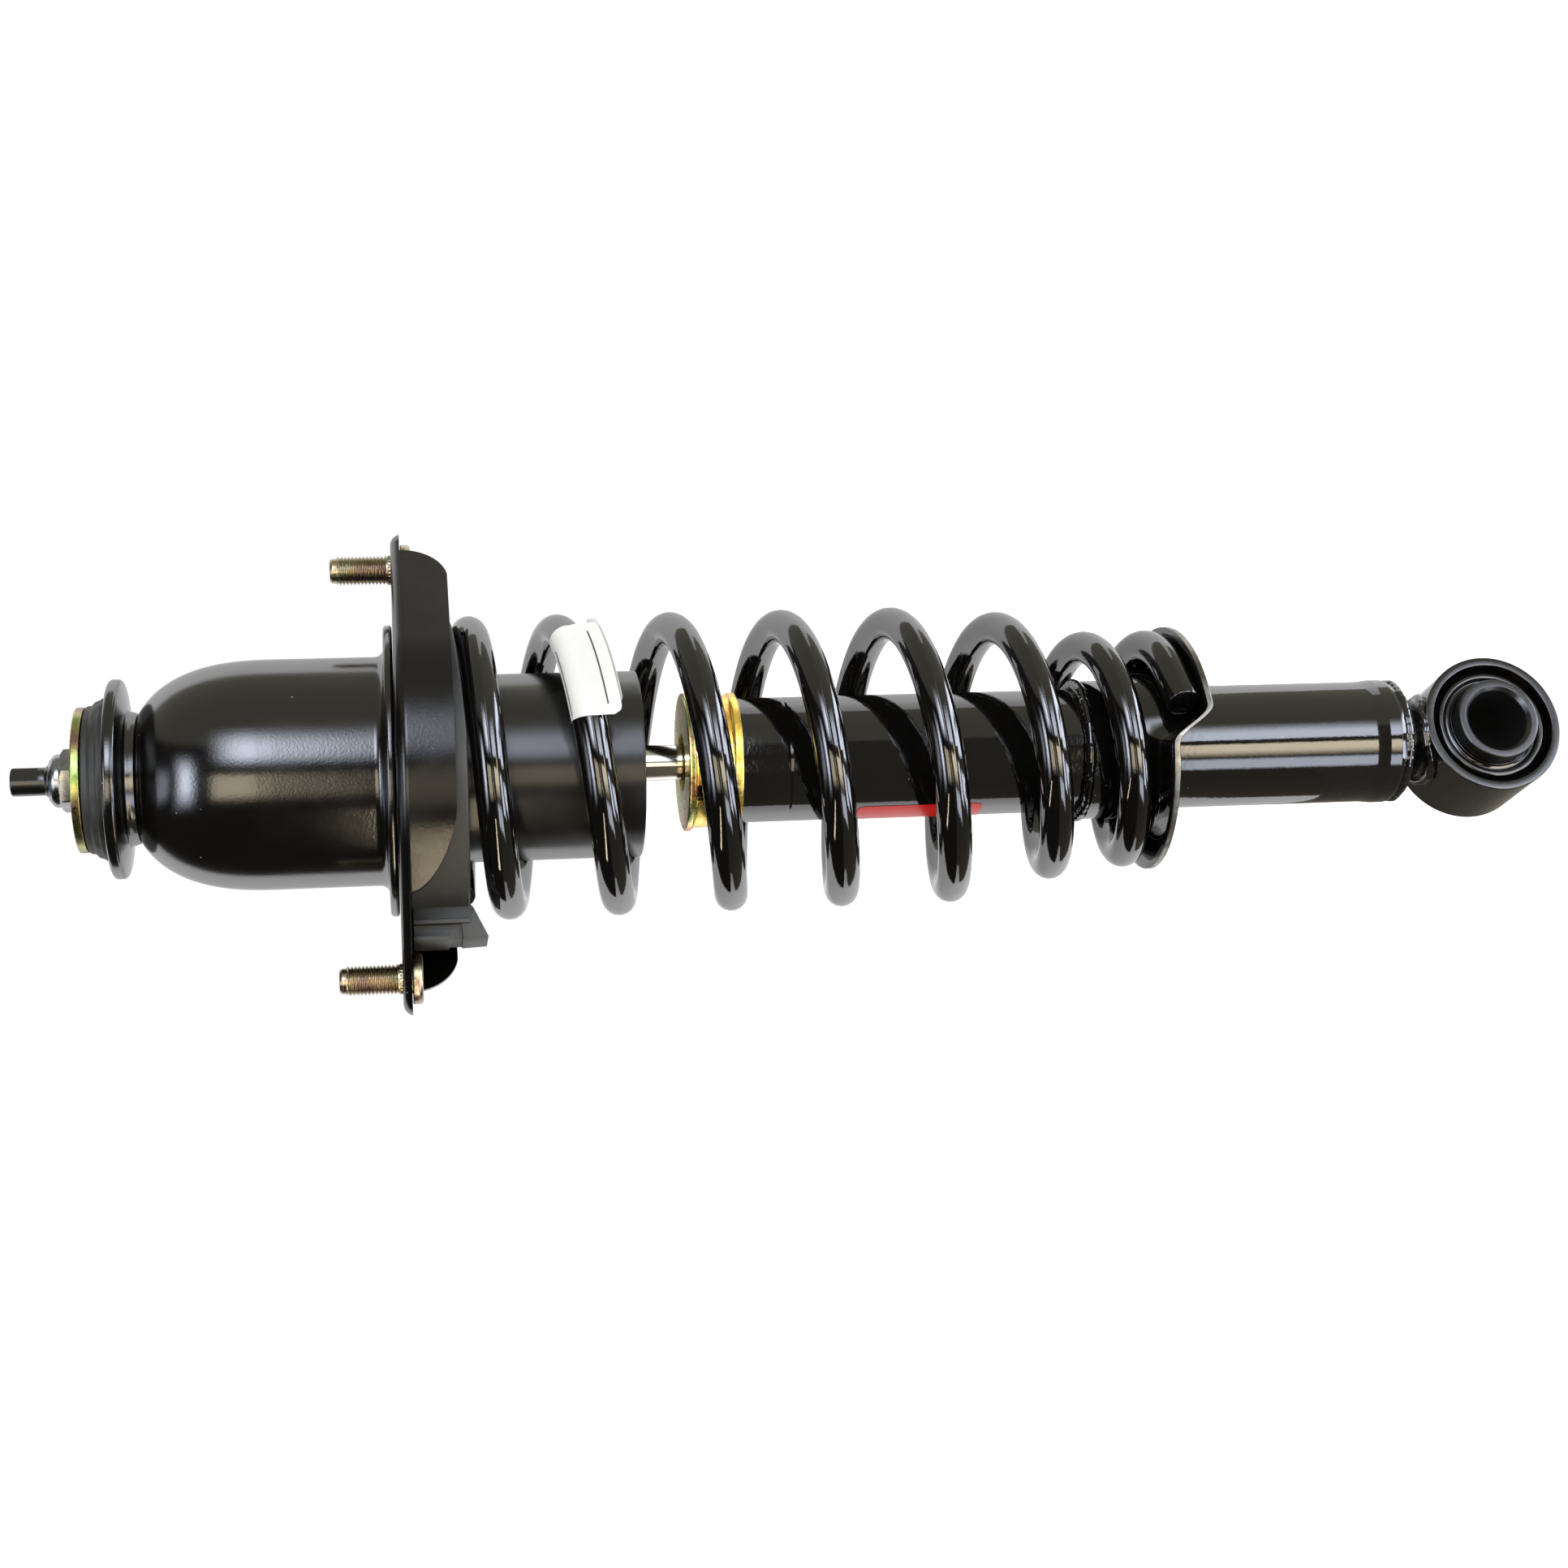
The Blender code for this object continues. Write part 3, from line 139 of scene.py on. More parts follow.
def add_node(tree, kind, inputs, **settings):
    """Add a shader node, set its options, and set or link its inputs."""
    node = tree.nodes.new("ShaderNode" + kind)
    for key, value in settings.items():
        setattr(node, key, value)
    plug(node, inputs)
    return node


def new_material(name):
    """An empty material with its tree, its shader and its coordinates."""
    material = bpy.data.materials.new(name)
    material.use_nodes = True
    tree = material.node_tree
    shader = tree.nodes["Principled BSDF"]
    coords = add_node(tree, "TexCoord", {}).outputs["Object"]
    return material, tree, shader, coords


# Noise scales, in marks per metre: 95 draws marks about 10 mm wide.
SAG_SCALE = 95.0          # 10 mm: where enamel ran a little before it was stoved
RUBBED_SCALE = 42.0       # 24 mm: patches dulled by handling
SPECK_SCALE = 420.0       # 2.4 mm between specks of settled dust
SPECK_SIZE = 0.095        # a share of that spacing, so 0.2 mm
SPECK_COLOUR = 0xA8A497
FILM_SCALE = 95.0         # 10 mm: how far a chromate film keeps its colour
CLOUD_SCALE = 60.0        # 17 mm: clouds of bloom or dust on rubber
RING_SCALE = 20.0         # 50 mm round the axis, so that a ring hardly changes
FIBRE_SCALE = 900.0       # 1.1 mm: paper fibres, drawn coarser than real ones so that they show
MOTTLE_SCALE = 140.0      # 7 mm: uneven coating or ink
ENAMEL_IOR = 1.52


def enamel(name, colour, roughness, peel_height, dust, peel_scale=620.0, sag_share=1.8):
    """Stoved enamel on steel: orange peel, fine dust that has settled, rubbed patches."""
    material, tree, shader, coords = new_material(name)
    peel = add_node(tree, "TexNoise", {
        "Vector": coords, "Scale": peel_scale, "Detail": 2.0, "Roughness": 0.55})
    sag = add_node(tree, "TexNoise", {"Vector": coords, "Scale": SAG_SCALE, "Detail": 2.0})
    height = add_node(tree, "Math", {0: sag, 1: sag_share, 2: peel}, operation="MULTIPLY_ADD")
    bump = add_node(tree, "Bump", {"Height": height, "Strength": 1.0, "Distance": peel_height})
    rubbed = add_node(tree, "TexNoise", {
        "Vector": coords, "Scale": RUBBED_SCALE, "Detail": 5.0, "Roughness": 0.65})
    rough = add_node(tree, "MapRange", {
        "Value": rubbed, "From Min": 0.35, "From Max": 0.75,
        "To Min": roughness * 0.85, "To Max": roughness * 1.35})
    specks = add_node(tree, "TexVoronoi", {
        "Vector": coords, "Scale": SPECK_SCALE, "Randomness": 1.0})
    chosen = add_node(tree, "SeparateColor", {"Color": specks.outputs["Color"]})
    near = add_node(tree, "Math", {0: specks, 1: SPECK_SIZE}, operation="LESS_THAN")
    rare = add_node(tree, "Math", {0: chosen, 1: 1.0 - dust}, operation="GREATER_THAN")
    speck = add_node(tree, "Math", {0: near, 1: rare}, operation="MULTIPLY")
    colours = add_node(tree, "Mix", {0: speck, 6: linear(colour), 7: linear(SPECK_COLOUR)},
                       data_type="RGBA")
    plug(shader, {"Base Color": colours, "Roughness": rough, "Normal": bump, "IOR": ENAMEL_IOR})
    return material


def zinc_plate(name, colours, roughness, grain):
    """Zinc plate: a chromate film whose thickness and colour drift, over a fine grain."""
    material, tree, shader, coords = new_material(name)
    film = add_node(tree, "TexNoise", {
        "Vector": coords, "Scale": FILM_SCALE, "Detail": 3.0, "Distortion": 0.8})
    first, second = (
        add_node(tree, "MapRange", {"Value": film, "From Min": thin, "From Max": thick},
                 interpolation_type="SMOOTHSTEP")
        for thin, thick in ((0.38, 0.50), (0.50, 0.64)))
    low = add_node(tree, "Mix", {0: first, 6: linear(colours[0]), 7: linear(colours[1])},
                   data_type="RGBA")
    high = add_node(tree, "Mix", {0: second, 6: low, 7: linear(colours[2])}, data_type="RGBA")
    crystals = add_node(tree, "TexNoise", {"Vector": coords, "Scale": grain, "Detail": 4.0})
    rough = add_node(tree, "MapRange", {
        "Value": crystals, "From Min": 0.3, "From Max": 0.7,
        "To Min": roughness * 0.75, "To Max": roughness * 1.3})
    bump = add_node(tree, "Bump", {"Height": crystals, "Strength": 0.6, "Distance": 0.00004})
    plug(shader, {"Base Color": high, "Roughness": rough, "Normal": bump, "Metallic": 1.0})
    return material


def moulded(name, colour, bloom, roughness, pore, depth):
    """Moulded rubber, plastic or foam: a matt skin with pores, and bloom in paler clouds."""
    material, tree, shader, coords = new_material(name)
    cloud = add_node(tree, "TexNoise", {
        "Vector": coords, "Scale": CLOUD_SCALE, "Detail": 6.0, "Roughness": 0.7})
    share = add_node(tree, "MapRange", {"Value": cloud, "From Min": 0.45, "From Max": 0.8})
    colours = add_node(tree, "Mix", {0: share, 6: linear(colour), 7: linear(bloom)},
                       data_type="RGBA")
    pores = add_node(tree, "TexNoise", {"Vector": coords, "Scale": pore, "Detail": 3.0})
    bump = add_node(tree, "Bump", {"Height": pores, "Strength": 0.8, "Distance": depth})
    rough = add_node(tree, "MapRange", {
        "Value": cloud, "From Min": 0.3, "From Max": 0.7,
        "To Min": roughness * 0.9, "To Max": roughness * 1.15})
    plug(shader, {"Base Color": colours, "Roughness": rough, "Normal": bump})
    return material


def ground_steel(name, colour, roughness, lay):
    """Ground or turned steel: fine rings round the Z axis, left by the wheel or the tool."""
    material, tree, shader, coords = new_material(name)
    along = add_node(tree, "Mapping", {
        "Vector": coords, "Scale": (RING_SCALE, RING_SCALE, lay)})
    rings = add_node(tree, "TexNoise", {"Vector": along, "Scale": 1.0, "Detail": 4.0})
    rough = add_node(tree, "MapRange", {
        "Value": rings, "From Min": 0.3, "From Max": 0.7,
        "To Min": roughness * 0.7, "To Max": roughness * 1.3})
    bump = add_node(tree, "Bump", {"Height": rings, "Strength": 0.25, "Distance": 0.00001})
    tint = add_node(tree, "MapRange", {"Value": rings, "To Min": 0.92, "To Max": 1.06})
    shade = add_node(tree, "Mix", {0: 1.0, 6: linear(colour), 7: tint},
                     data_type="RGBA", blend_type="MULTIPLY")
    plug(shader, {"Base Color": shade, "Roughness": rough, "Normal": bump, "Metallic": 1.0})
    return material


def paper(name, colour, roughness):
    """Coated label stock, ink or film in a linear colour: faintly mottled, fibres up close."""
    material, tree, shader, coords = new_material(name)
    fibres = add_node(tree, "TexNoise", {"Vector": coords, "Scale": FIBRE_SCALE, "Detail": 3.0})
    clouds = add_node(tree, "TexNoise", {"Vector": coords, "Scale": MOTTLE_SCALE, "Detail": 3.0})
    tone = add_node(tree, "MapRange", {"Value": clouds, "To Min": 0.93, "To Max": 1.03})
    shade = add_node(tree, "Mix", {0: 1.0, 6: tuple(colour), 7: tone},
                     data_type="RGBA", blend_type="MULTIPLY")
    bump = add_node(tree, "Bump", {"Height": fibres, "Strength": 0.4, "Distance": 0.00002})
    plug(shader, {"Base Color": shade, "Normal": bump, "Roughness": roughness})
    return material


MATERIALS = {}


ENAMELS = {
    # sRGB, roughness, height of the orange peel in metres, share of dusty cells, and, where they
    # differ from the usual ones, the peel's scale and the sag's share of its height
    # a satin coat whose peel is 0.8 mm wide: broad soft highlights with a faint ripple
    "satin_black_paint": ("Satin black enamel, stoved on pressed steel",
                          0x0E0D0C, 0.15, 0.000024, 0.04, 1200.0, 0.5),
    # a rougher, dustier coat with a 1 mm peel; its darker colour and weaker reflection are painted
    # shade, a shaded copy of the bell's satin black
    "shaded_flange_paint": ("Black dip enamel, matt, on pressed steel",
                     0x0B0A09, 0.21, 0.000028, 0.07, 1000.0, 0.8),
    # a thick glossy coat: sharp reflections that waver over long runs of 10 mm
    "gloss_black_enamel": ("Gloss black enamel, dipped", 0x0E0D0C, 0.05, 0.000015, 0.012),
    # a thin oiled phosphate coat: nearly black, with a soft sheen
    "black_oxide_steel": ("Black phosphated steel, oiled", 0x0D0C0B, 0.28, 0.000015, 0.02),
}
PLATINGS = {
    # three film colours, roughness, scale of the zinc's grain: 900 draws 1.1 mm, which is coarser
    # than real crystals so that it shows
    # a worn film, brown to grey
    "yellow_zinc": ("Yellow zinc plate, passivated", (0x918F78, 0x96876C, 0x857269), 0.30, 900.0),
    # a film that turns green where it is thin
    "green_zinc": ("Yellow zinc plate, green film", (0x70854A, 0x8C8656, 0x86685C), 0.30, 900.0),
    # a fresh film that runs from green through straw to rose
    "zinc_washer": ("Yellow zinc plate, rainbow film", (0xA8B070, 0xD2BC7A, 0xC08C66), 0.30, 900.0),
    # a thick film of a full gold
    "gold_zinc": ("Yellow zinc plate, thick film", (0xF0E08E, 0xE6C45C, 0xDCA850), 0.30, 700.0),
    # a clear film: cool grey metal
    "clear_zinc": ("Clear zinc plate, bright", (0x787A7E, 0x707276, 0x84827C), 0.26, 800.0),
    # a cut edge that handling has worn bright through the enamel
    "sheet_edge": ("Sheared steel edge, worn bright", (0x827F78, 0x6A6761, 0x55534D), 0.36, 700.0),
}
STEELS = {
    # sRGB, roughness, rings per metre along the axis, drawn at 0.3 mm so that they show
    "hard_chrome": ("Hard chrome, ground and polished", 0xB9B6B0, 0.12, 4000.0),
    "bare_steel": ("Bare turned steel", 0xA9A9AB, 0.32, 3000.0),
}
MOULDINGS = {
    # sRGB of the skin and of its bloom, roughness, scale and depth in metres of the pores
    "black_rubber": ("Natural rubber, moulded", 0x1B1B1A, 0x34342F, 0.55, 700.0, 0.00004),
    # rubber with a wax bloom that greys it
    "grey_rubber": ("Natural rubber, moulded, with bloom",
                    0x151513, 0x282824, 0.58, 600.0, 0.00006),
    # a smooth hard skin, with flow marks 4 mm wide
    "black_plastic": ("Polypropylene, extruded, satin", 0x0F0F0F, 0x181715, 0.22, 260.0, 0.00002),
    # an open, dull, straw-coloured foam
    "urethane_foam": ("Microcellular polyurethane foam", 0xAD9A68, 0xC2B287, 0.80, 900.0, 0.00012),
    # a waxy brown-grey band
    "ptfe_band": ("Filled fluoropolymer, skived", 0x5A564C, 0x6A665A, 0.45, 500.0, 0.00002),
    # painted shade: the bore is drawn near black and hardly reflecting, as if in deep shadow
    "painted_shade_bore": ("Phosphated bore, in its own shadow", 0x0B0B0B, 0x121210, 0.85, 800.0, 0.00002),
}
# coats that reflect less than a smooth film would: a thin film over red; the bore and the flange
# reflect less as painted shade
WEAK_SPECULAR = {"painted_shade_bore": 0.08, "red_film": 0.15, "shaded_flange_paint": 0.25}


def make_materials(colours):
    """One material for each finish. The decal's colour comes from the panel."""
    for make, recipes in ((enamel, ENAMELS), (zinc_plate, PLATINGS), (ground_steel, STEELS),
                          (moulded, MOULDINGS)):
        for key, recipe in recipes.items():
            MATERIALS[key] = make(*recipe)
    MATERIALS["white_paper"] = paper("Coated paper label", linear(0xEEEDE8), 0.42)
    MATERIALS["black_ink"] = paper("Printing ink on paper", linear(0x202024), 0.45)
    MATERIALS["red_film"] = paper("Red vinyl film", colours.decal, 0.22)
    for key, level in WEAK_SPECULAR.items():
        shader = MATERIALS[key].node_tree.nodes["Principled BSDF"]
        shader.inputs["Specular IOR Level"].default_value = level


# ---------------------------------------------------------------- modelling helpers
def smoothstep(value):
    x = min(max(value, 0.0), 1.0)
    return x * x * (3.0 - 2.0 * x)


def smoothstep_sum(value):
    """Integral of smoothstep from 0 to value."""
    if value <= 0.0:
        return 0.0
    if value >= 1.0:
        return value - 0.5
    return value ** 3 - 0.5 * value ** 4


def rounded(corners, closed=True, steps=6):
    """Outline through (r, z) or (r, z, fillet) corners, each fillet drawn as an arc."""
    points = []
    count = len(corners)
    for index, corner in enumerate(corners):
        here = Vector(corner[:2])
        at_end = not closed and index in (0, count - 1)
        if len(corner) < 3 or at_end:
            points.append(here)
            continue
        before = Vector(corners[index - 1][:2]) - here
        after = Vector(corners[(index + 1) % count][:2]) - here
        half = before.angle(after) / 2.0
        reach = min(corner[2] / math.tan(half), 0.49 * before.length, 0.49 * after.length)
        centre = here + (before.normalized() + after.normalized()).normalized() * reach / math.cos(
            half)
        start = here + before.normalized() * reach - centre
        end = here + after.normalized() * reach - centre
        first = math.atan2(start.y, start.x)
        sweep = math.atan2(start.cross(end), start.dot(end))
        for step in range(steps + 1):
            angle = first + sweep * step / steps
            points.append(centre + Vector((math.cos(angle), math.sin(angle))) * start.length)
    return points


def mesh_from(shape, name):
    mesh = bpy.data.meshes.new(name)
    shape.to_mesh(mesh)
    shape.free()
    return mesh


def add_object(name, data):
    obj = bpy.data.objects.new(name, data)
    bpy.context.scene.collection.objects.link(obj)
    return obj


def add_piece(name, mesh, material, sharp=35.0):
    """A shown object at the origin, shaded smooth up to the given angle in degrees."""
    obj = add_object(name, mesh)
    mesh.materials.clear()
    mesh.materials.append(MATERIALS[material])
    reshade(obj, sharp)
    return obj


def second_finish(obj, material, chosen):
    """Give a second finish to the faces whose distance from the axis is chosen."""
    obj.data.materials.append(MATERIALS[material])
    for face in obj.data.polygons:
        if chosen(math.hypot(face.center.x, face.center.y)):
            face.material_index = 1


def settle(obj, body, slot, *nodes):
    """Tie a piece to its body, and hide the CAD nodes that it stands for. The slot is not used."""
    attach(obj, body)
    if nodes:
        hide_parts(*nodes)


def supported(points, closed):
    """Add a point near each end of a long run, so that a fillet doesn't bend its shading."""
    near = 0.0006
    result = []
    for index, here in enumerate(points):
        result.append(here)
        if index + 1 == len(points) and not closed:
            break
        run = points[(index + 1) % len(points)] - here
        if run.length > near * 5.0:
            result += [here + run.normalized() * near, here + run - run.normalized() * near]
    return result


def turned_shape(corners, steps, closed):
    """A turned shape whose outline runs down its outer side first."""
    shape = bmesh.new()
    outline = supported(rounded(corners, closed), closed)
    verts = [shape.verts.new((p.x, 0.0, p.y)) for p in outline]
    pairs = list(zip(verts, verts[1:]))
    if closed:
        pairs.append((verts[-1], verts[0]))
    edges = [shape.edges.new(pair) for pair in pairs]
    bmesh.ops.spin(shape, geom=verts + edges, cent=ORIGIN, axis=UP, angle=math.tau,
                   steps=steps, use_merge=True)
    bmesh.ops.remove_doubles(shape, verts=shape.verts, dist=MERGE)
    bmesh.ops.recalc_face_normals(shape, faces=shape.faces)
    return shape


def turned(name, corners, material, steps=ROUND, closed=True, sharp=35.0):
    return add_piece(name, mesh_from(turned_shape(corners, steps, closed), name), material, sharp)


def apply_modifiers(obj):
    graph = bpy.context.evaluated_depsgraph_get()
    graph.update()
    mesh = bpy.data.meshes.new_from_object(obj.evaluated_get(graph))
    obj.modifiers.clear()
    obj.data = mesh
    return mesh


def cut(obj, mesh, operation="DIFFERENCE"):
    """Cut a piece with a mesh, or join the two."""
    cutter = add_object("cutter", mesh)
    modifier = obj.modifiers.new("cut", "BOOLEAN")
    modifier.operation = operation
    modifier.solver = "EXACT"
    modifier.object = cutter
    apply_modifiers(obj)
    bpy.data.objects.remove(cutter, do_unlink=True)


def reshade(obj, sharp=35.0):
    obj.data.shade_smooth()
    obj.data.set_sharp_from_angle(angle=math.radians(sharp))


def spin(mesh, angle, axis="Z"):
    mesh.transform(Matrix.Rotation(angle, 4, axis))


def soften_edges(obj, width, segments=3, angle=30.0):
    modifier = obj.modifiers.new("edges", "BEVEL")
    modifier.width = width
    modifier.segments = segments
    modifier.limit_method = "ANGLE"
    modifier.angle_limit = math.radians(angle)
    modifier.harden_normals = False
    apply_modifiers(obj)


def weigh_normals(obj):
    """Let the large faces keep their own normals beside narrow bevels and bends."""
    modifier = obj.modifiers.new("normals", "WEIGHTED_NORMAL")
    modifier.keep_sharp = True
    modifier.weight = 80
    apply_modifiers(obj)


def rod_mesh(name, radius, low, high, steps):
    """A plain round rod on the Z axis, mostly to cut a hole with."""
    corners = [(0.0, high), (radius, high), (radius, low), (0.0, low)]
    return mesh_from(turned_shape(corners, steps, False), name)


def rectangle(x_min, y_min, x_max, y_max):
    return [(x_min, y_min), (x_max, y_min), (x_max, y_max), (x_min, y_max)]


def prism(outline, low, high):
    """A closed prism over an outline in the XY plane."""
    shape = bmesh.new()
    face = shape.faces.new([shape.verts.new((x, y, low)) for x, y in outline])
    raised = bmesh.ops.extrude_face_region(shape, geom=[face])
    moved = [item for item in raised["geom"] if isinstance(item, bmesh.types.BMVert)]
    bmesh.ops.translate(shape, verts=moved, vec=(0.0, 0.0, high - low))
    bmesh.ops.recalc_face_normals(shape, faces=shape.faces)
    return mesh_from(shape, "prism")


def arc_points(centre_x, radius, start, end, steps):
    points = []
    for step in range(steps + 1):
        angle = start + (end - start) * step / steps
        points.append((centre_x + radius * math.cos(angle), radius * math.sin(angle)))
    return points


def hexagon(across_flats, first_angle):
    radius = across_flats / 2.0 / math.cos(math.pi / 6.0)
    angles = [first_angle + math.pi / 3.0 * corner for corner in range(6)]
    return [(radius * math.cos(angle), radius * math.sin(angle)) for angle in angles]


def woven(name, *strips):
    """An open mesh that spans each strip's rows of points with quads."""
    shape = bmesh.new()
    for rows in strips:
        rows = [[shape.verts.new(point) for point in row] for row in rows]
        for before, after in zip(rows, rows[1:]):
            for index in range(len(before) - 1):
                shape.faces.new((before[index], before[index + 1],
                                 after[index + 1], after[index]))
    bmesh.ops.recalc_face_normals(shape, faces=shape.faces)
    return mesh_from(shape, name)


def tube_mesh(points, radius, sides_step):
    """A round wire through the points, capped, as a mesh."""
    curve = bpy.data.curves.new("wire", "CURVE")
    curve.dimensions = "3D"
    curve.bevel_depth = radius
    curve.bevel_resolution = sides_step
    curve.use_fill_caps = True
    spline = curve.splines.new("POLY")
    spline.points.add(len(points) - 1)
    for target, point in zip(spline.points, points):
        target.co = (*point, 1.0)
    wire = add_object("wire", curve)
    graph = bpy.context.evaluated_depsgraph_get()
    graph.update()
    mesh = bpy.data.meshes.new_from_object(wire.evaluated_get(graph))
    bpy.data.objects.remove(wire, do_unlink=True)
    shape = bmesh.new()
    shape.from_mesh(mesh)
    bmesh.ops.remove_doubles(shape, verts=shape.verts, dist=MERGE)
    shape.to_mesh(mesh)
    shape.free()
    return mesh


def cut_thread(mesh, centre, pitch, depth, low, high, runout):
    """Draw a plain shank's surface in along a helix, between two levels."""
    for vert in mesh.vertices:
        x = vert.co.x - centre[0]
        y = vert.co.y - centre[1]
        radius = math.hypot(x, y)
        if radius < depth * 3.0 or not low < vert.co.z < high:
            continue
        phase = (vert.co.z / pitch - math.atan2(y, x) / math.tau) % 1.0
        share = min(smoothstep((vert.co.z - low) / runout), smoothstep((high - vert.co.z) / runout))
        groove = depth * min(max((abs(2.0 * phase - 1.0) - 0.08) / 0.80, 0.0), 1.0) * share
        vert.co.x -= x / radius * groove
        vert.co.y -= y / radius * groove


# ---------------------------------------------------------------- sizes that a user would change
class STRUT_PG_mount(bpy.types.PropertyGroup):
    """Sizes of the top mount."""
    dome_power: FloatProperty(
        name="Dome squareness", default=2.6, min=1.5, max=6.0,
        description="Power of the curve that closes the bell's top")
    stud_pitch: FloatProperty(
        name="Thread pitch", default=0.00125, unit="LENGTH",
        description="Pitch of the studs' threads")
    flange_edge: FloatProperty(
        name="Flange edge", default=0.0007, unit="LENGTH",
        description="Rounding of the pressed flange's edges")


class STRUT_PG_spring(bpy.types.PropertyGroup):
    """Sizes of the coil spring and its label."""
    wire_radius: FloatProperty(
        name="Wire radius", default=0.0059, unit="LENGTH",
        description="Radius of the spring's wire")
    label_length: FloatProperty(
        name="Label length", default=0.0375, unit="LENGTH",
        description="Length of the paper label along the wire")
    label_flag: FloatProperty(
        name="Label flag", default=0.0048, unit="LENGTH",
        description="How far the label's glued ends stand out beside the wire")


class STRUT_PG_damper(bpy.types.PropertyGroup):
    """Sizes of the damper, its seat and its eye."""
    weld_radius: FloatProperty(
        name="Weld bead", default=0.0019, unit="LENGTH",
        description="Radius of the weld bead round the seat's collar")
    decal: FloatVectorProperty(
        name="Decal colour", subtype="COLOR", size=4, min=0.0, max=1.0, default=linear(0xFA2A22),
        description="Colour of the plain decal on the tube")


class STRUT_PG_stage(bpy.types.PropertyGroup):
    """Light levels of the studio."""
    backdrop: FloatProperty(
        name="Backdrop glow", default=2.6, min=0.0,
        description="Brightness of the white backdrop in reflections")
    window: FloatProperty(name="Window", default=16.0, min=0.0,
                          description="Brightness of the cool window in reflections")
    wall: FloatProperty(name="Warm wall", default=5.0, min=0.0,
                        description="Brightness of the warm wall beside the camera in reflections")


# ---------------------------------------------------------------- pieces of the top mount
def top_fastening():
    """The rod's tip, the locking nut and the plated washer."""
    nut_low = base_of("rod_nut")
    nut_high = top_of("rod_nut")
    hex_top = nut_low + 0.0052
    flats = 0.019
    bore = 0.0060
    nut = add_piece(
        "rod_nut_plated", prism(hexagon(flats, math.pi / 6.0), nut_low, hex_top), "clear_zinc")
    soften_edges(nut, 0.0003, 2)
    corner = flats / 2.0 / math.cos(math.pi / 6.0)
    crown = [
        (0.0, hex_top + 0.0002), (flats / 2.0 - 0.0002, hex_top + 0.0002, 0.0004),
        (corner + 0.0004, hex_top - 0.0014), (corner + 0.0004, nut_low - 0.001),
        (0.0, nut_low - 0.001)]
    cut(nut, mesh_from(turned_shape(crown, ROUND, False), "crown"), "INTERSECT")
    collar_top = nut_high
    collar = [
        (0.0, collar_top), (0.0070, collar_top, 0.0006), (0.0086, collar_top - 0.0014, 0.0014),
        (0.0090, collar_top - 0.0024, 0.0008), (0.0090, hex_top - 0.001), (0.0, hex_top - 0.001)]
    cut(nut, mesh_from(turned_shape(collar, ROUND, False), "collar"), "UNION")
    cut(nut, rod_mesh("hole", bore, nut_low - 0.001, nut_high + 0.001, ROUND_SMALL))
    reshade(nut, 28.0)
    settle(nut, "mount", "clear_zinc", "rod_nut")

    low = base_of("upper_washer")
    high = top_of("upper_washer")
    outer = radius_of("upper_washer")
    washer = turned(
        "upper_washer_plated", [(outer, high, 0.0006), (outer, low, 0.0004), (bore, low, 0.0002),
        (bore, high, 0.0002)], "green_zinc")
    settle(washer, "mount", "yellow_zinc", "upper_washer")

    tip = top_of("piston_rod")
    half_flats = 0.0039
    half_slot = 0.0006
    flats_turn = math.radians(20.0)
    shank = 0.0057
    shoulder = 0.0602
    stem = 0.00475
    corners = [
        (0.0, tip), (stem, tip, 0.0008), (stem, nut_high + 0.0014, 0.0006),
        (shank, nut_high + 0.0004, 0.0002), (shank, shoulder)]
    dark = turned_shape(corners + [(0.0, shoulder)], ROUND_SMALL, False)
    rod = add_piece("rod_tip_black", mesh_from(dark, "rod_tip_black"), "black_oxide_steel")
    for side in (0.0, math.pi):
        flat = prism(rectangle(-0.01, half_flats, 0.01, 0.01), tip - 0.009, tip + 0.002)
        spin(flat, side + flats_turn)
        cut(rod, flat)
    slot = prism(rectangle(-0.01, -half_slot, 0.01, half_slot), tip - 0.0016, tip + 0.002)
    spin(slot, flats_turn)
    cut(rod, slot)
    soften_edges(rod, 0.00018, 2)
    reshade(rod)
    settle(rod, "mount", "black_oxide_steel")

    post_end = base_of("piston_rod")
    radius = radius_of("piston_rod")
    post = 0.0045
    piston_top = top_of("piston") + CLEAR
    chromed = turned(
        "piston_rod_chromed", [(0.0, shoulder), (radius, shoulder, 0.0004), (radius, piston_top),
        (post, piston_top), (post, post_end, 0.0005), (0.0, post_end)], "hard_chrome", ROUND,
        closed=False)
    settle(chromed, "mount", "hard_chrome", "piston_rod")


def cushions():
    """The two rubber cushions that clamp the bell's top."""
    low = base_of("upper_cushion")
    high = top_of("upper_cushion")
    rim = top_of("cushion_cup")
    inner = 0.0089
    neck = 0.0227
    corners = [
        (0.0250, high, 0.0010), (0.0251, high - 0.0021, 0.0012), (0.0262, high - 0.0032, 0.0010),
        (0.0269, high - 0.0050, 0.0010), (0.0275, rim + 0.0022, 0.0010),
        (0.0274, rim + 0.0004, 0.0006), (neck + 0.0028, rim - 0.0006, 0.002),
        (neck - 0.0034, low + 0.0006), (neck - 0.0040, low), (inner, low), (inner, high)]
    upper = turned("upper_cushion_rubber", corners, "grey_rubber")
    crease = 0.00040
    for vert in upper.data.vertices:
        x, y, z = vert.co
        radius = math.hypot(x, y)
        if radius > 0.0245 and rim + 0.001 < z < high - 0.0012:
            wave = noise.noise(Vector((math.atan2(y, x) * 7.0, z * 320.0, 0.0)))
            vert.co.x += x / radius * crease * wave
            vert.co.y += y / radius * crease * wave
    settle(upper, "mount", "black_rubber", "upper_cushion")
    low = base_of("lower_cushion")
    high = top_of("lower_cushion")
    seat = top_of("bell_housing") - 0.0030 - CLEAR
    spigot = 0.0142
    lower = turned(
        "lower_cushion_rubber", [(spigot, high, 0.0008), (spigot, seat, 0.0003),
        (0.019, seat, 0.003), (0.019, low, 0.003), (inner, low), (inner, high)], "black_rubber")
    settle(lower, "mount", "black_rubber", "lower_cushion")


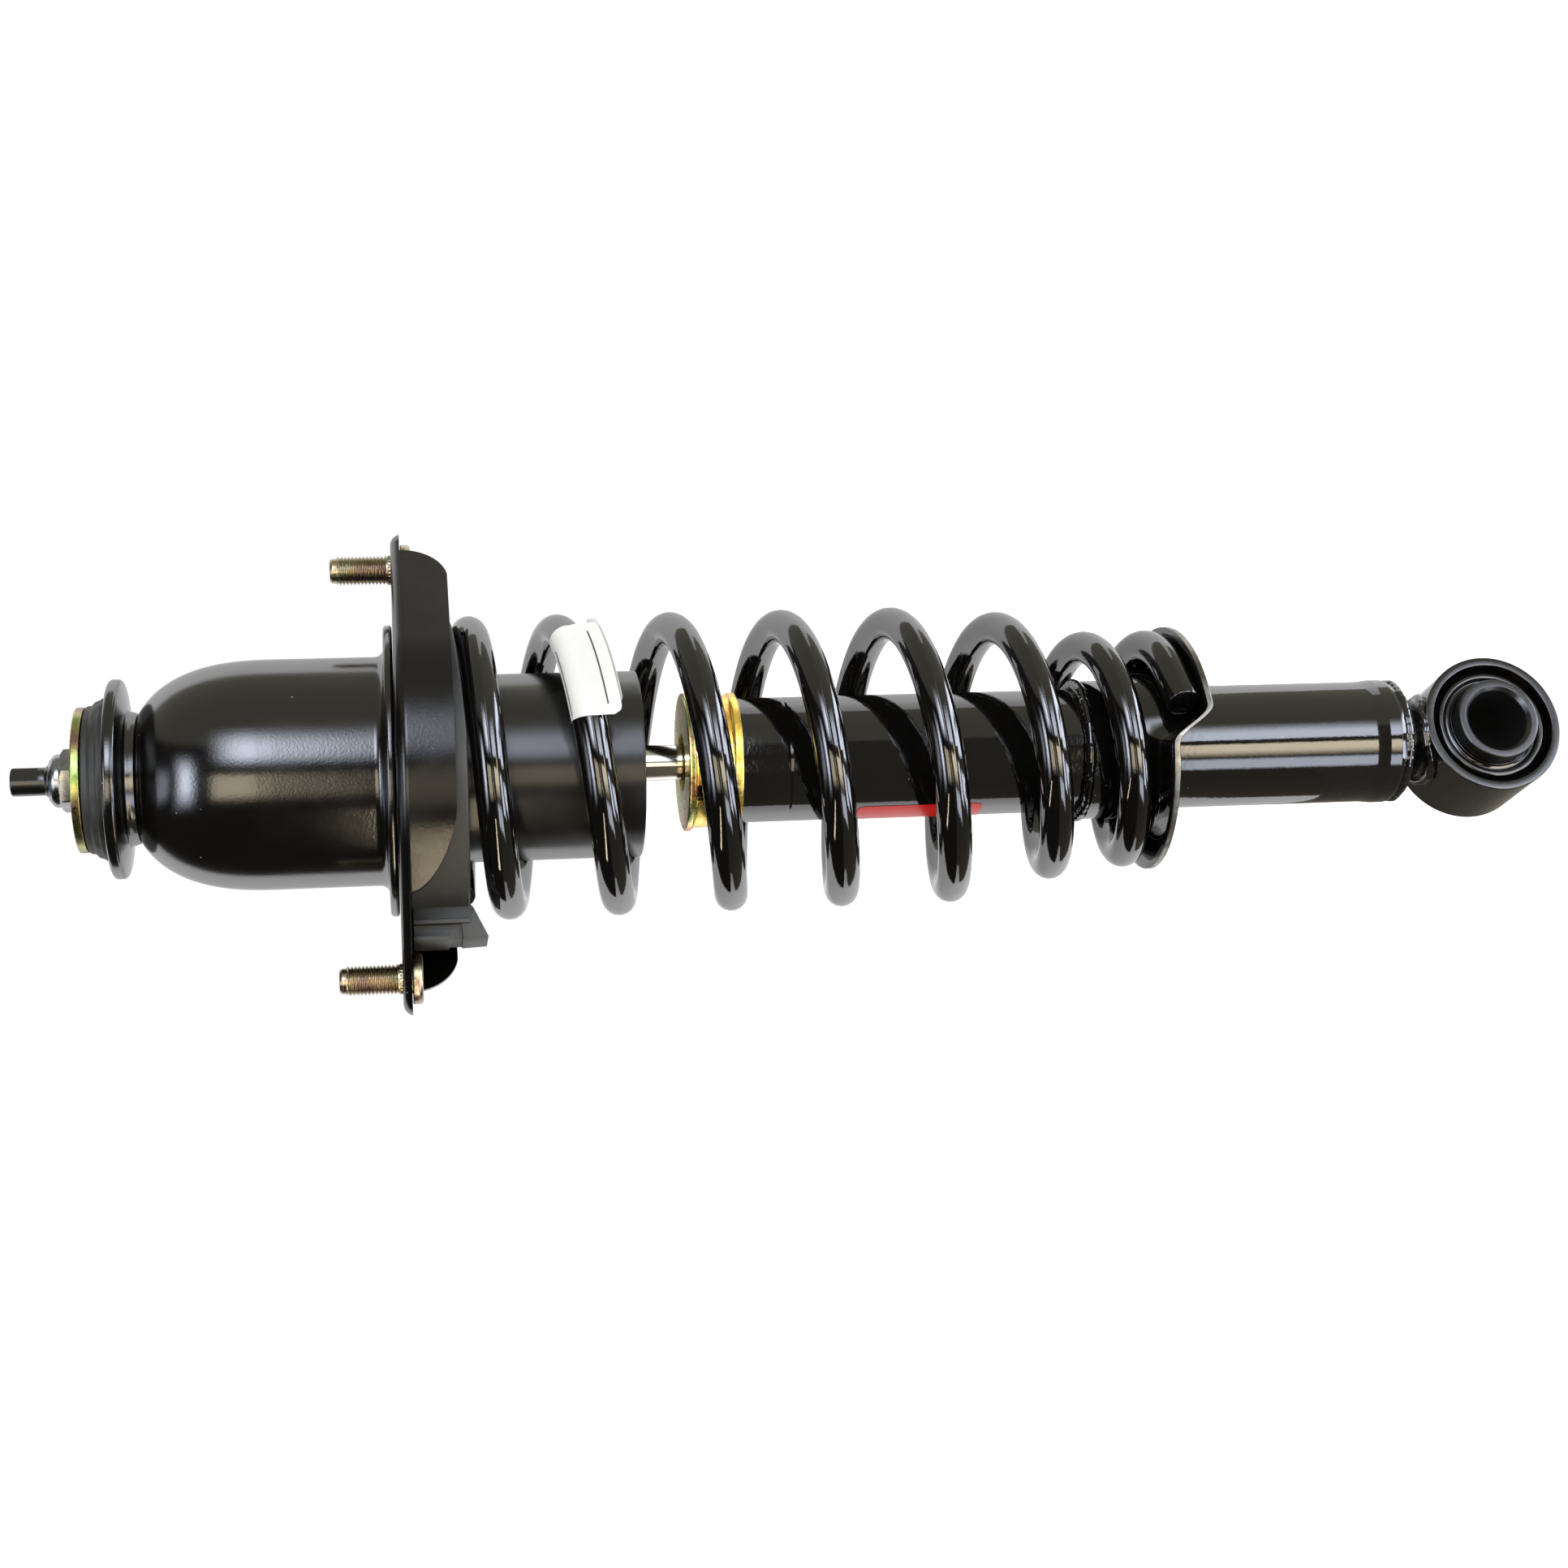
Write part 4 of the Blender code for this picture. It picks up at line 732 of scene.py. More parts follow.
BELL_RADIUS = 0.0393
DOME_BASE = 0.040         # where the straight wall ends
DOME_HEIGHT = 0.050       # to where the curve would close on the axis


def dome_radius(level):
    """The bell's outer radius at a level."""
    sizes = bpy.context.scene.strut_mount
    share = max(level - DOME_BASE, 0.0) / DOME_HEIGHT
    return BELL_RADIUS * (1.0 - share ** sizes.dome_power) ** (1.0 / sizes.dome_power)


def bell():
    """The deep-drawn bell with its brim, and the stamped cup that sits on it."""
    top = top_of("bell_housing")
    sheet = 0.003
    bore = 0.0145
    shoulder = dome_radius(top)
    steps = 36
    outer = [(bore, top), (shoulder - 0.0002, top)]
    inner = []
    for step in range(1, steps + 1):
        share = (1.0 - step / steps) ** 0.6
        level = DOME_BASE + (top - DOME_BASE) * share
        outer.append((dome_radius(level), level))
        level = DOME_BASE + (top - sheet - DOME_BASE) * share
        inner.insert(0, (dome_radius(level + sheet * share) - sheet, level))
    brim_top = base_of("bell_housing") + sheet
    outer += [
        (BELL_RADIUS, brim_top, 0.0032), (radius_of("bell_housing"), brim_top, 0.0013),
        (radius_of("bell_housing"), brim_top - sheet, 0.0010),
        (BELL_RADIUS - sheet, brim_top - sheet, 0.0020)]
    inner += [(shoulder - sheet, top - sheet), (bore, top - sheet)]
    housing = turned("bell_housing_painted", outer + inner, "satin_black_paint", 192)
    settle(housing, "mount", "satin_black_paint", "bell_housing")

    seat = base_of("cushion_cup")
    rim = top_of("cushion_cup")
    rim_radius = radius_of("cushion_cup")
    thick = 0.0042
    neck = shoulder + 0.0002
    corners = [(rim_radius, rim, 0.0015), (rim_radius, rim - thick, 0.0014),
               (neck + 0.0004, seat + 0.0034, 0.0034), (neck, seat + 0.0016, 0.002),
               (neck - 0.0006, seat, 0.0005), (bore, seat), (bore, seat + 0.0025),
               (neck - 0.0025, seat + 0.0025, 0.0012), (neck + 0.0033, rim - 0.0010, 0.004),
               (neck + 0.0066, rim, 0.0010)]
    cup = turned("cushion_cup_painted", corners, "satin_black_paint", 192)
    settle(cup, "mount", "satin_black_paint", "cushion_cup")


def flange_outline(inset):
    """The plate's outline: a disc drawn out to a round lug at each stud."""
    plate = 0.0575
    lug = 0.0125
    lean = math.acos((plate - lug) / STUD_OFFSET)
    half = arc_points(STUD_OFFSET, lug - inset, -lean, lean, 24)
    half += arc_points(0.0, plate - inset, lean, math.pi - lean, 48)
    return half + [(-x, -y) for x, y in half]


def wall_cutter(side):
    """Takes the wall away below the line along which it runs out, on one side of the stud line."""
    level = -0.0031
    full = -0.0192
    deep = -0.029
    reach = 0.097
    line = [(-reach, level)]
    for step in range(33):
        share = step / 32.0
        line.append(
            (-0.0485 + 0.026 * share,
            level + (full - level) * (1.0 - (1.0 - share) ** 1.7) ** 0.59))
    for step in range(17):
        angle = math.pi / 2.0 * step / 16.0
        along = 0.0751 - 0.014 * (1.0 - math.sin(angle))
        line.append((along, level + (full - level) * math.cos(angle)))
    line += [(reach, level), (reach, deep), (-reach, deep)]
    mesh = prism(line, -0.0005, 0.07)
    spin(mesh, math.pi / 2.0, "X")
    if side > 0:
        spin(mesh, math.pi)
    return mesh


def mount_flange():
    """The pressed flange: plate, bend and swept wall, with its bore and the two stud holes."""
    bend = 0.004
    sheet = 0.003
    rings = []
    for step in range(11):
        angle = math.pi / 2.0 * step / 10.0
        rings.append((bend * (1.0 - math.sin(angle)), -bend * (1.0 - math.cos(angle))))
    rings.append((0.0, -0.019))
    shape = bmesh.new()
    loops = []
    for inset, level in rings:
        verts = [shape.verts.new((x, y, level)) for x, y in flange_outline(inset)]
        loops.append([shape.edges.new(pair) for pair in zip(verts, verts[1:] + verts[:1])])
        if len(loops) == 1:
            shape.faces.new(verts)
    for upper, lower in zip(loops, loops[1:]):
        bmesh.ops.bridge_loops(shape, edges=upper + lower)
    bmesh.ops.recalc_face_normals(shape, faces=shape.faces)
    plate = max(shape.faces, key=lambda face: face.calc_area())
    if plate.normal.z < 0.0:
        bmesh.ops.reverse_faces(shape, faces=shape.faces)
    # painted shade: the flange's enamel is a darker, less reflecting copy of the bell's satin black
    flange = add_piece(
        "mount_flange_painted", mesh_from(shape, "mount_flange_painted"), "shaded_flange_paint")
    wall = flange.modifiers.new("sheet", "SOLIDIFY")
    wall.thickness = sheet
    wall.offset = -1.0
    wall.use_even_offset = True
    apply_modifiers(flange)
    for side in (-1.0, 1.0):
        cut(flange, wall_cutter(side))
        hole = rod_mesh("hole", STUD_HOLE_RADIUS, -0.01, 0.01, ROUND_SMALL)
        hole.transform(Matrix.Translation((side * STUD_OFFSET, 0.0, 0.0)))
        cut(flange, hole)
    bore = 0.035
    cut(flange, rod_mesh("bore", bore, -0.01, 0.01, ROUND))
    spin(flange.data, STUD_LINE_ANGLE)
    soften_edges(flange, bpy.context.scene.strut_mount.flange_edge, 3)
    reshade(flange)
    weigh_normals(flange)
    settle(flange, "mount", "satin_black_paint", "mount_flange")


def studs():
    """Two studs with rolled threads, a bare pilot, a serrated shoulder and a round head."""
    pitch = bpy.context.scene.strut_mount.stud_pitch
    stand = top_of("mount_stud_a")
    crest = 0.0050
    head_top = -0.0033
    thread_top = stand - 0.0022
    teeth = 24
    pilot = 0.0043
    head_radius = 0.0087
    groove = 0.00078
    for name, side in (("mount_stud_a", 1.0), ("mount_stud_b", -1.0)):
        low = base_of(name)
        rows = []
        level = thread_top - 0.0006
        while level > 0.0009:
            rows.append((crest, level))
            level -= pitch / 16.0
        corners = [(0.0, stand), (0.0037, stand, 0.0003), (pilot, stand - 0.0009, 0.0004),
                   (pilot, thread_top + 0.0002), (0.0048, thread_top - 0.0003)] + rows
        corners += [
            (crest, 0.0008), (crest, head_top), (head_radius, head_top, 0.0005),
            (head_radius, low, 0.0014), (0.0, low)]
        stud = turned(name + "_plated", corners, "yellow_zinc", 96, closed=False, sharp=66.0)
        cut_thread(stud.data, (0.0, 0.0), pitch, groove, 0.0012, thread_top, pitch * 0.6)
        for vert in stud.data.vertices:
            radius = math.hypot(vert.co.x, vert.co.y)
            if head_top < vert.co.z < 0.0009 and abs(radius - crest) < 0.00002:
                lift = 1.0 + 0.03 * math.cos(teeth * math.atan2(vert.co.y, vert.co.x))
                vert.co.x *= lift
                vert.co.y *= lift
        stud.data.transform(Matrix.Translation((side * STUD_OFFSET, 0.0, 0.0)))
        spin(stud.data, STUD_LINE_ANGLE)
        settle(stud, "mount", "yellow_zinc", name)


# ---------------------------------------------------------------- the spring's path, as in the CAD
# A turn is counted from the upper contact. Each ramp is a first turn and a number of turns.
WIRE_RADIUS = 0.0059
SPRING_RADIUS = 0.0468
TAIL_RADIUS = 0.0366
PITCH = 0.0392
TOP_PITCH = 0.011
BOTTOM_PITCH = 0.0165
FIRST_PASS_DROP = 0.0257
TOP_RAMP = (-0.35, 1.30)
BOTTOM_RAMP = (4.30, 3.30)
TAIL_RAMP = (4.50, 1.60)
START_TURN = -0.44
END_TURN = 7.187
SPRING_ANGLE = math.radians(-19.0)
WIRE_POINTS = 96          # per turn
NEARBY_TURN = 0.002       # a step along the wire that shows its direction
LABEL_TURN = 1.138
LABEL_CORNER = 0.0028     # radius of the label's corners
SEAT_CONTACT_TURN = 6.60
STEP_START_TURN = END_TURN + 0.008
STEP_END_TURN = STEP_START_TURN + 0.050


def wire_drop(turn):
    """How far the wire's centre lies below the flange's top face at a turn."""
    top_start, top_turns = TOP_RAMP
    low_start, low_turns = BOTTOM_RAMP
    opened = smoothstep_sum((turn - top_start) / top_turns) - smoothstep_sum(-top_start / top_turns)
    closed = smoothstep_sum((turn - low_start) / low_turns)
    drop = FIRST_PASS_DROP + TOP_PITCH * turn
    drop += (PITCH - TOP_PITCH) * top_turns * opened
    return drop - (PITCH - BOTTOM_PITCH) * low_turns * closed


def wire_point(turn):
    start, turns = TAIL_RAMP
    radius = SPRING_RADIUS - (SPRING_RADIUS - TAIL_RADIUS) * smoothstep((turn - start) / turns)
    angle = SPRING_ANGLE - math.tau * turn
    return Vector((radius * math.cos(angle), radius * math.sin(angle), -wire_drop(turn)))


def turn_of(x, y, first_turn):
    """The turn, at or after first_turn, at which the wire passes over the point (x, y)."""
    turn = (SPRING_ANGLE - math.atan2(y, x)) / math.tau
    return turn + math.ceil(first_turn - turn)


def follow_spring(obj):
    """Give the piece a mesh of its own."""
    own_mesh(obj)


def coil_spring():
    """The spring: one unbroken wire with straight cut ends, each a wire's thickness long."""
    radius = bpy.context.scene.strut_spring.wire_radius
    first = START_TURN + 2.0 * radius / (math.tau * SPRING_RADIUS)
    last = END_TURN - 2.0 * radius / (math.tau * TAIL_RADIUS)
    count = round((last - first) * WIRE_POINTS)
    points = [wire_point(first + (last - first) * index / count) for index in range(count + 1)]
    head = (points[0] - wire_point(first + NEARBY_TURN)).normalized() * 2.0 * radius
    tail = (points[-1] - wire_point(last - NEARBY_TURN)).normalized() * 2.0 * radius
    points = [points[0] + head] + points + [points[-1] + tail]
    spring = add_piece(
        "coil_spring_enamelled", tube_mesh(points, radius, 7), "gloss_black_enamel", 60.0)
    soften_edges(spring, 0.0006, 2, 60.0)
    reshade(spring, 60.0)
    settle(spring, "mount", "gloss_black_enamel", "coil_spring")
    follow_spring(spring)


def label_point(share, across, out, skew):
    """A point across the wire and out towards the camera, at a share of the label's length."""
    sizes = bpy.context.scene.strut_spring
    turn = LABEL_TURN + (sizes.label_length * (share - 0.5) - skew) / (math.tau * SPRING_RADIUS)
    ahead = (wire_point(turn + NEARBY_TURN) - wire_point(turn - NEARBY_TURN)).normalized()
    front = (TOWARDS_CAMERA - ahead * TOWARDS_CAMERA.dot(ahead)).normalized()
    side = ahead.cross(front).normalized()
    if side.z > 0.0:
        side = -side
    return wire_point(turn) + side * across + front * out


def paper_label():
    """A paper label glued round the wire, its ends stuck together as a flag, with ruled lines."""
    sizes = bpy.context.scene.strut_spring
    around = sizes.wire_radius + 0.00018
    thickness = 0.00012
    rows = []
    steps = 40
    wrap = 24
    for step in range(steps + 1):
        share = step / steps
        corner = min(min(share, 1.0 - share) * sizes.label_length / LABEL_CORNER, 1.0)
        reach = sizes.label_flag - LABEL_CORNER * (1.0 - math.sqrt(1.0 - (1.0 - corner) ** 2))
        lift = around * 0.78 + 0.0007 * math.sin(share * math.pi)
        section = [
            (around + reach, lift), (around * 0.98, around * 0.87), (around * 0.62, around * 0.94)]
        for index in range(wrap + 1):
            angle = math.radians(72.0) + math.radians(258.0) * index / wrap
            section.append((around * math.cos(angle), around * math.sin(angle)))
        section += [(around * 1.22, around * 0.25), (around + reach + 0.0008, lift - 0.0003)]
        last = len(section) - 1
        rows.append([label_point(share, across, out, LABEL_CORNER * index / last)
                     for index, (across, out) in enumerate(section)])
    label = add_piece("spring_label", woven("spring_label", rows), "white_paper")
    wall = label.modifiers.new("paper", "SOLIDIFY")
    wall.thickness = thickness
    wall.offset = 0.0
    apply_modifiers(label)
    reshade(label, 50.0)
    settle(label, "mount", "satin_black_paint")
    follow_spring(label)

    # the ruled lines stand a paper's thickness above the label
    strips = []
    above = around + 0.00012
    left = [
        (above * math.cos(angle), above * math.sin(angle))
        for angle in (math.radians(154.0), math.radians(158.0))]
    right = [(around * 1.04, around * 0.868 + 0.00012), (around * 1.12, around * 0.858 + 0.00012)]
    for (first, second), start, end in ((right, 0.14, 0.91), (left, 0.22, 0.94)):
        rows = []
        for step in range(steps + 1):
            share = start + (end - start) * step / steps
            rise = 0.0001 * math.sin(share * math.pi)
            rows.append([label_point(share, across, out + rise, 0.0)
                         for across, out in (first, second)])
        strips.append(rows)
    lines = add_piece("label_lines", woven("label_lines", *strips), "black_ink")
    settle(lines, "mount", "satin_black_paint")
    follow_spring(lines)


# ---------------------------------------------------------------- rubber, plastic and foam
def slab(outline, half):
    """A prism over an outline of radii and heights, half its width to each side."""
    mesh = prism(outline, -half, half)
    spin(mesh, math.pi / 2.0, "X")
    return mesh


def insulator():
    """The rubber seat between flange and spring, with the ear that stands out at one lug."""
    inner = 0.0340
    outer = 0.0515
    top = -0.0033
    low = top - 0.010
    deepest = -0.0232
    steps = 192
    shape = turned_shape(
        [(inner, top, 0.0006), (outer, top, 0.0008), (outer, low, 0.0016), (inner, low, 0.0010)],
        steps, True)
    middle = (top + low) / 2.0
    for vert in shape.verts:
        x, y, z = vert.co
        if z < middle:
            turn = turn_of(x, y, START_TURN - 0.0375)
            seat = max(-wire_drop(turn) + WIRE_RADIUS + CLEAR * 2.0, deepest)
            vert.co.z = seat + (z - low) * 0.5
    ring = add_piece(
        "upper_insulator_rubber", mesh_from(shape, "upper_insulator_rubber"), "grey_rubber")
    reshade(ring, 40.0)
    settle(ring, "mount", "grey_rubber", "upper_insulator")

    # the ear, in radial and height coordinates: a block, two ledges, a rib and a flared lip
    under = top - 0.0008
    block = [(0.0495, under), (0.0548, under), (0.0548, -0.0236), (0.0495, -0.0236)]
    ear = add_piece("insulator_ear", slab(block, 0.0122), "grey_rubber")
    for outline, half in (
        ([(0.0540, under), (0.0606, under), (0.0606, -0.0206), (0.0540, -0.0206)], 0.0098),
        ([(0.0540, under), (0.0556, under), (0.0556, -0.0232), (0.0540, -0.0232)], 0.0130),
        ([(0.0594, under), (0.0610, under), (0.0610, -0.0160), (0.0594, -0.0160)], 0.0124),
        ([(0.0500, -0.0196), (0.0608, -0.0204), (0.0604, -0.0290), (0.0500, -0.0240)], 0.0118),
    ):
        cut(ear, slab(outline, half), "UNION")
    soften_edges(ear, 0.0004, 2)
    spin(ear.data, STUD_LINE_ANGLE + math.pi)
    reshade(ear, 40.0)
    settle(ear, "mount", "grey_rubber")


def dust_cover():
    """The long plastic sleeve round the rod, and the foam stop inside it."""
    top = top_of("dust_cover")
    base = base_of("dust_cover")
    radius = radius_of("dust_cover")
    wall = 0.0018
    bore = 0.0060
    under = top - 0.0025
    corners = [
        (bore, top), (radius, top, 0.0045), (radius, base, 0.0003), (radius - wall, base, 0.0003),
        (radius - wall, under, 0.0030), (bore, under)]
    sleeve = turned("dust_cover_plastic", corners, "black_plastic", 192)
    settle(sleeve, "mount", "black_plastic", "dust_cover")

    top = top_of("bump_stop")
    base = base_of("bump_stop")
    radius = 0.0220
    inner = 0.00665
    first = 0.018
    spacing = (top - base - first - 0.006) / 3.0
    corners = [(radius, top, 0.0012)]
    for waist in range(3):
        level = top - first - spacing * waist
        taper = 0.0012 * waist
        corners += [(radius - taper, level + 0.003, 0.002), (radius - 0.003 - taper, level, 0.002),
                    (radius - taper, level - 0.003, 0.002)]
    corners += [(radius - 0.006, base, 0.003), (inner, base, 0.0008), (inner, top)]
    stop = turned("bump_stop_foam", corners, "urethane_foam", 96, sharp=60.0)
    settle(stop, "mount", "urethane_foam", "bump_stop")
    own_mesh(stop)


# ---------------------------------------------------------------- pieces of the damper
def bumper_cap():
    """The plated cap: a thick disc that meets the stop, and a thin skirt with three windows."""
    top = top_of("bumper_cap")
    base = base_of("bumper_cap")
    rim = radius_of("bumper_cap")
    sheet = 0.0024
    bore = 0.0222
    hole = 0.0102
    under = top - sheet
    disc = turned(
        "bumper_cap_disc", [(hole, top, 0.0003), (rim, top, 0.0007), (rim, under, 0.0005),
        (hole, under, 0.0002)], "zinc_washer", 192)
    settle(disc, "damper", "yellow_zinc", "bumper_cap")

    lip = rim - 0.0003
    neck = 0.0231
    corners = [
        (hole + 0.001, under), (neck, under, 0.0008), (neck, base + 0.0034, 0.0012),
        (lip, base + 0.0026, 0.0005), (lip, base, 0.0005), (bore, base, 0.0003),
        (bore, under - 0.0009), (hole + 0.001, under - 0.0009)]
    skirt = turned("bumper_cap_skirt", corners, "gold_zinc", 192)
    half_window = 0.0030
    first_window = math.radians(28.0)
    facing = math.atan2(TOWARDS_CAMERA.y, TOWARDS_CAMERA.x)
    for window in range(3):
        opening = prism(
            rectangle(0.015, -half_window, 0.030, half_window), base + 0.0055, under - 0.0004)
        spin(opening, facing - first_window + math.tau * window / 3.0)
        cut(skirt, opening)
    reshade(skirt)
    settle(skirt, "damper", "yellow_zinc")


def outer_tube():
    """The enamelled tube, necked before its flared end, and the plain decal on its side."""
    top = top_of("outer_tube")
    end = base_of("outer_tube")
    radius = 0.0219
    wall = 0.0018
    flare = 0.0224
    crimp = -0.1340
    corners = [
        (radius - wall, top, 0.0003), (radius, top, 0.0006), (radius, crimp + 0.0009, 0.0008),
        (radius - 0.00004, crimp, 0.0004), (radius, crimp - 0.0009, 0.0008),
        (radius, end + 0.0108, 0.026), (flare, end + 0.0065, 0.010), (flare, end + 0.0022, 0.0014),
        (radius - 0.0002, end, 0.0008), (radius - wall, end)]
    tube = turned("outer_tube_enamelled", corners, "gloss_black_enamel", 192)
    settle(tube, "damper", "gloss_black_enamel", "outer_tube")

    # the decal lies on the side that is lowest in the picture, and ends short of the silhouette
    film = 0.00012
    corner = 0.0022
    decal_top = -0.1585
    decal_low = -0.2030
    centre = math.atan2(-PICTURE_UP.y, -PICTURE_UP.x)
    span = math.radians(75.0)
    steps = 40
    columns = []
    for step in range(steps + 1):
        angle = centre - span / 2.0 + span * step / steps
        edge = min(step, steps - step) / steps * span * radius
        inset = corner * (1.0 - math.sqrt(max(0.0, 1.0 - (1.0 - min(edge / corner, 1.0)) ** 2)))
        x = (radius + film) * math.cos(angle)
        y = (radius + film) * math.sin(angle)
        columns.append([(x, y, decal_top - inset), (x, y, decal_low + inset)])
    decal = add_piece("tube_decal", woven("tube_decal", columns), "red_film", 60.0)
    settle(decal, "damper", "gloss_black_enamel")


def seat_level(turn):
    """Level of the seat's upper face under the wire's centre line, at the last turn."""
    bearing = turn
    if turn < SEAT_CONTACT_TURN:
        bearing = SEAT_CONTACT_TURN - (SEAT_CONTACT_TURN - turn) * 0.20
    if turn > STEP_START_TURN:
        lowest = seat_level(STEP_START_TURN)
        highest = seat_level(STEP_END_TURN - 1.0)
        share = (turn - STEP_START_TURN) / (STEP_END_TURN - STEP_START_TURN)
        return lowest + (highest - lowest) * smoothstep(share)
    return -wire_drop(bearing) - WIRE_RADIUS - CLEAR


def spring_seat():
    """The pressed seat: collar, trumpet, helical pan with its step, and the collar's weld."""
    level = seat_level(SEAT_CONTACT_TURN)
    sheet = 0.0026
    bore = 0.0222
    collar = bore + 0.0026
    trumpet_top = level + 0.0135
    collar_top = trumpet_top + 0.0120
    pan = collar + 0.0055
    rim = 0.0435
    corners = [
        (collar, collar_top - 0.0006, 0.0006), (collar, trumpet_top, 0.006),
        (collar + 0.0012, level + 0.0065, 0.005), (pan, level, 0.004), (rim - 0.002, level, 0.001),
        (rim, level - 0.0004, 0.0004), (rim, level - sheet, 0.0006), (pan, level - sheet, 0.004),
        (bore, trumpet_top - 0.0052, 0.006), (bore, collar_top - 0.0006)]
    shape = turned_shape(corners, 288, True)
    for vert in shape.verts:
        x, y, _ = vert.co
        share = smoothstep((math.hypot(x, y) - collar - 0.0010) / (pan - collar - 0.0010))
        vert.co.z += (seat_level(turn_of(x, y, STEP_END_TURN - 1.0)) - level) * share
    seat = add_piece("lower_spring_seat_enamelled", mesh_from(shape, "lower_spring_seat_enamelled"),
                     "gloss_black_enamel")
    second_finish(seat, "sheet_edge", lambda radius: radius > rim - 0.00012)
    settle(seat, "damper", "gloss_black_enamel", "lower_spring_seat")
    ring_weld("seat_weld", bore + 0.0012, collar_top - 0.0006, 11)


def ring_weld(name, ring, level, seed):
    """A weld bead laid round the axis in overlapping ripples, a little uneven in width and path."""
    bead = bpy.context.scene.strut_damper.weld_radius
    shape = bmesh.new()
    made = bmesh.ops.create_circle(shape, cap_ends=False, segments=20, radius=bead)
    edges = list({edge for vert in made["verts"] for edge in vert.link_edges})
    bmesh.ops.rotate(
        shape, verts=shape.verts, cent=ORIGIN,
        matrix=ON_ITS_SIDE)
    bmesh.ops.translate(shape, verts=shape.verts, vec=(ring, 0.0, level))
    bmesh.ops.spin(shape, geom=made["verts"] + edges, cent=ORIGIN, axis=UP, angle=math.tau,
                   steps=320, use_merge=True)
    bmesh.ops.remove_doubles(shape, verts=shape.verts, dist=MERGE)
    bmesh.ops.recalc_face_normals(shape, faces=shape.faces)
    ripples = 46
    for vert in shape.verts:
        x, y, z = vert.co
        angle = math.atan2(y, x)
        centre = Vector((ring * math.cos(angle), ring * math.sin(angle), level))
        ripple = (angle * ripples / math.tau) % 1.0
        swell = 1.0 + 0.10 * ripple + 0.22 * noise.noise(
            Vector((x, y, z)) * 210.0 + Vector((seed, 0.0, 0.0)))
        drift = 0.0004 * noise.noise(Vector((math.cos(angle) * 2.2, math.sin(angle) * 2.2, seed)))
        vert.co = centre + (vert.co - centre) * swell + Vector((0.0, 0.0, drift))
    weld = add_piece(name, mesh_from(shape, name), "gloss_black_enamel", 60.0)
    settle(weld, "damper", "gloss_black_enamel")


def end_cap():
    """The domed end of the tube and its neck, with the rough weld that holds the eye."""
    top = top_of("end_cap")
    tube_end = base_of("outer_tube") - CLEAR
    bore = 0.0198
    neck = 0.0140
    dome = tube_end - 0.0065
    low = EYE_CENTRE_Z + 0.0150
    corners = [
        (0.0, top), (bore, top, 0.0010), (bore, tube_end), (0.0212, tube_end, 0.0006),
        (0.0206, tube_end - 0.0024, 0.003), (neck + 0.0018, dome, 0.005),
        (neck, dome - 0.002, 0.003), (neck, low), (0.0, low)]
    cap = turned("end_cap_enamelled", corners, "gloss_black_enamel", ROUND, closed=False)
    ring = turned_shape([(0.0, 0.03), (0.0257, 0.03), (0.0257, -0.03), (0.0, -0.03)], ROUND, False)
    bmesh.ops.rotate(
        ring, verts=ring.verts, cent=ORIGIN,
        matrix=ON_ITS_SIDE)
    bmesh.ops.translate(ring, verts=ring.verts, vec=(0.0, 0.0, EYE_CENTRE_Z))
    cut(cap, mesh_from(ring, "eye_seat"))
    reshade(cap)
    settle(cap, "damper", "gloss_black_enamel", "end_cap")
    ring_weld("tube_end_weld", 0.0204, tube_end - 0.0006, 3)
    eye_weld(neck)


def eye_weld(neck):
    """The bead that runs round the neck where it meets the eye's round back."""
    eye = (top_of("eye_ring") - base_of("eye_ring")) / 2.0
    steps = 160
    points = []
    for step in range(steps):
        angle = math.tau * step / steps
        x = (neck + 0.0006) * math.cos(angle)
        y = (neck + 0.0006) * math.sin(angle)
        points.append(Vector((x, y, EYE_CENTRE_Z + math.sqrt(eye ** 2 - x ** 2) + 0.0004)))
    points += points[:2]
    shape = bmesh.new()
    shape.from_mesh(tube_mesh(points, bpy.context.scene.strut_damper.weld_radius * 1.15, 4))
    for vert in shape.verts:
        rough = noise.noise(vert.co * 260.0) * 0.0007 + noise.noise(vert.co * 700.0) * 0.0003
        vert.co += Vector((vert.co.x, vert.co.y, 0.0)).normalized() * rough
    weld = add_piece("eye_weld", mesh_from(shape, "eye_weld"), "gloss_black_enamel", 70.0)
    settle(weld, "damper", "gloss_black_enamel")


def lay_across(obj):
    """Turn a piece made round Z so that it lies along the eye's axis."""
    spin(obj.data, math.pi / 2.0, "X")
    obj.data.transform(Matrix.Translation((0.0, 0.0, EYE_CENTRE_Z)))


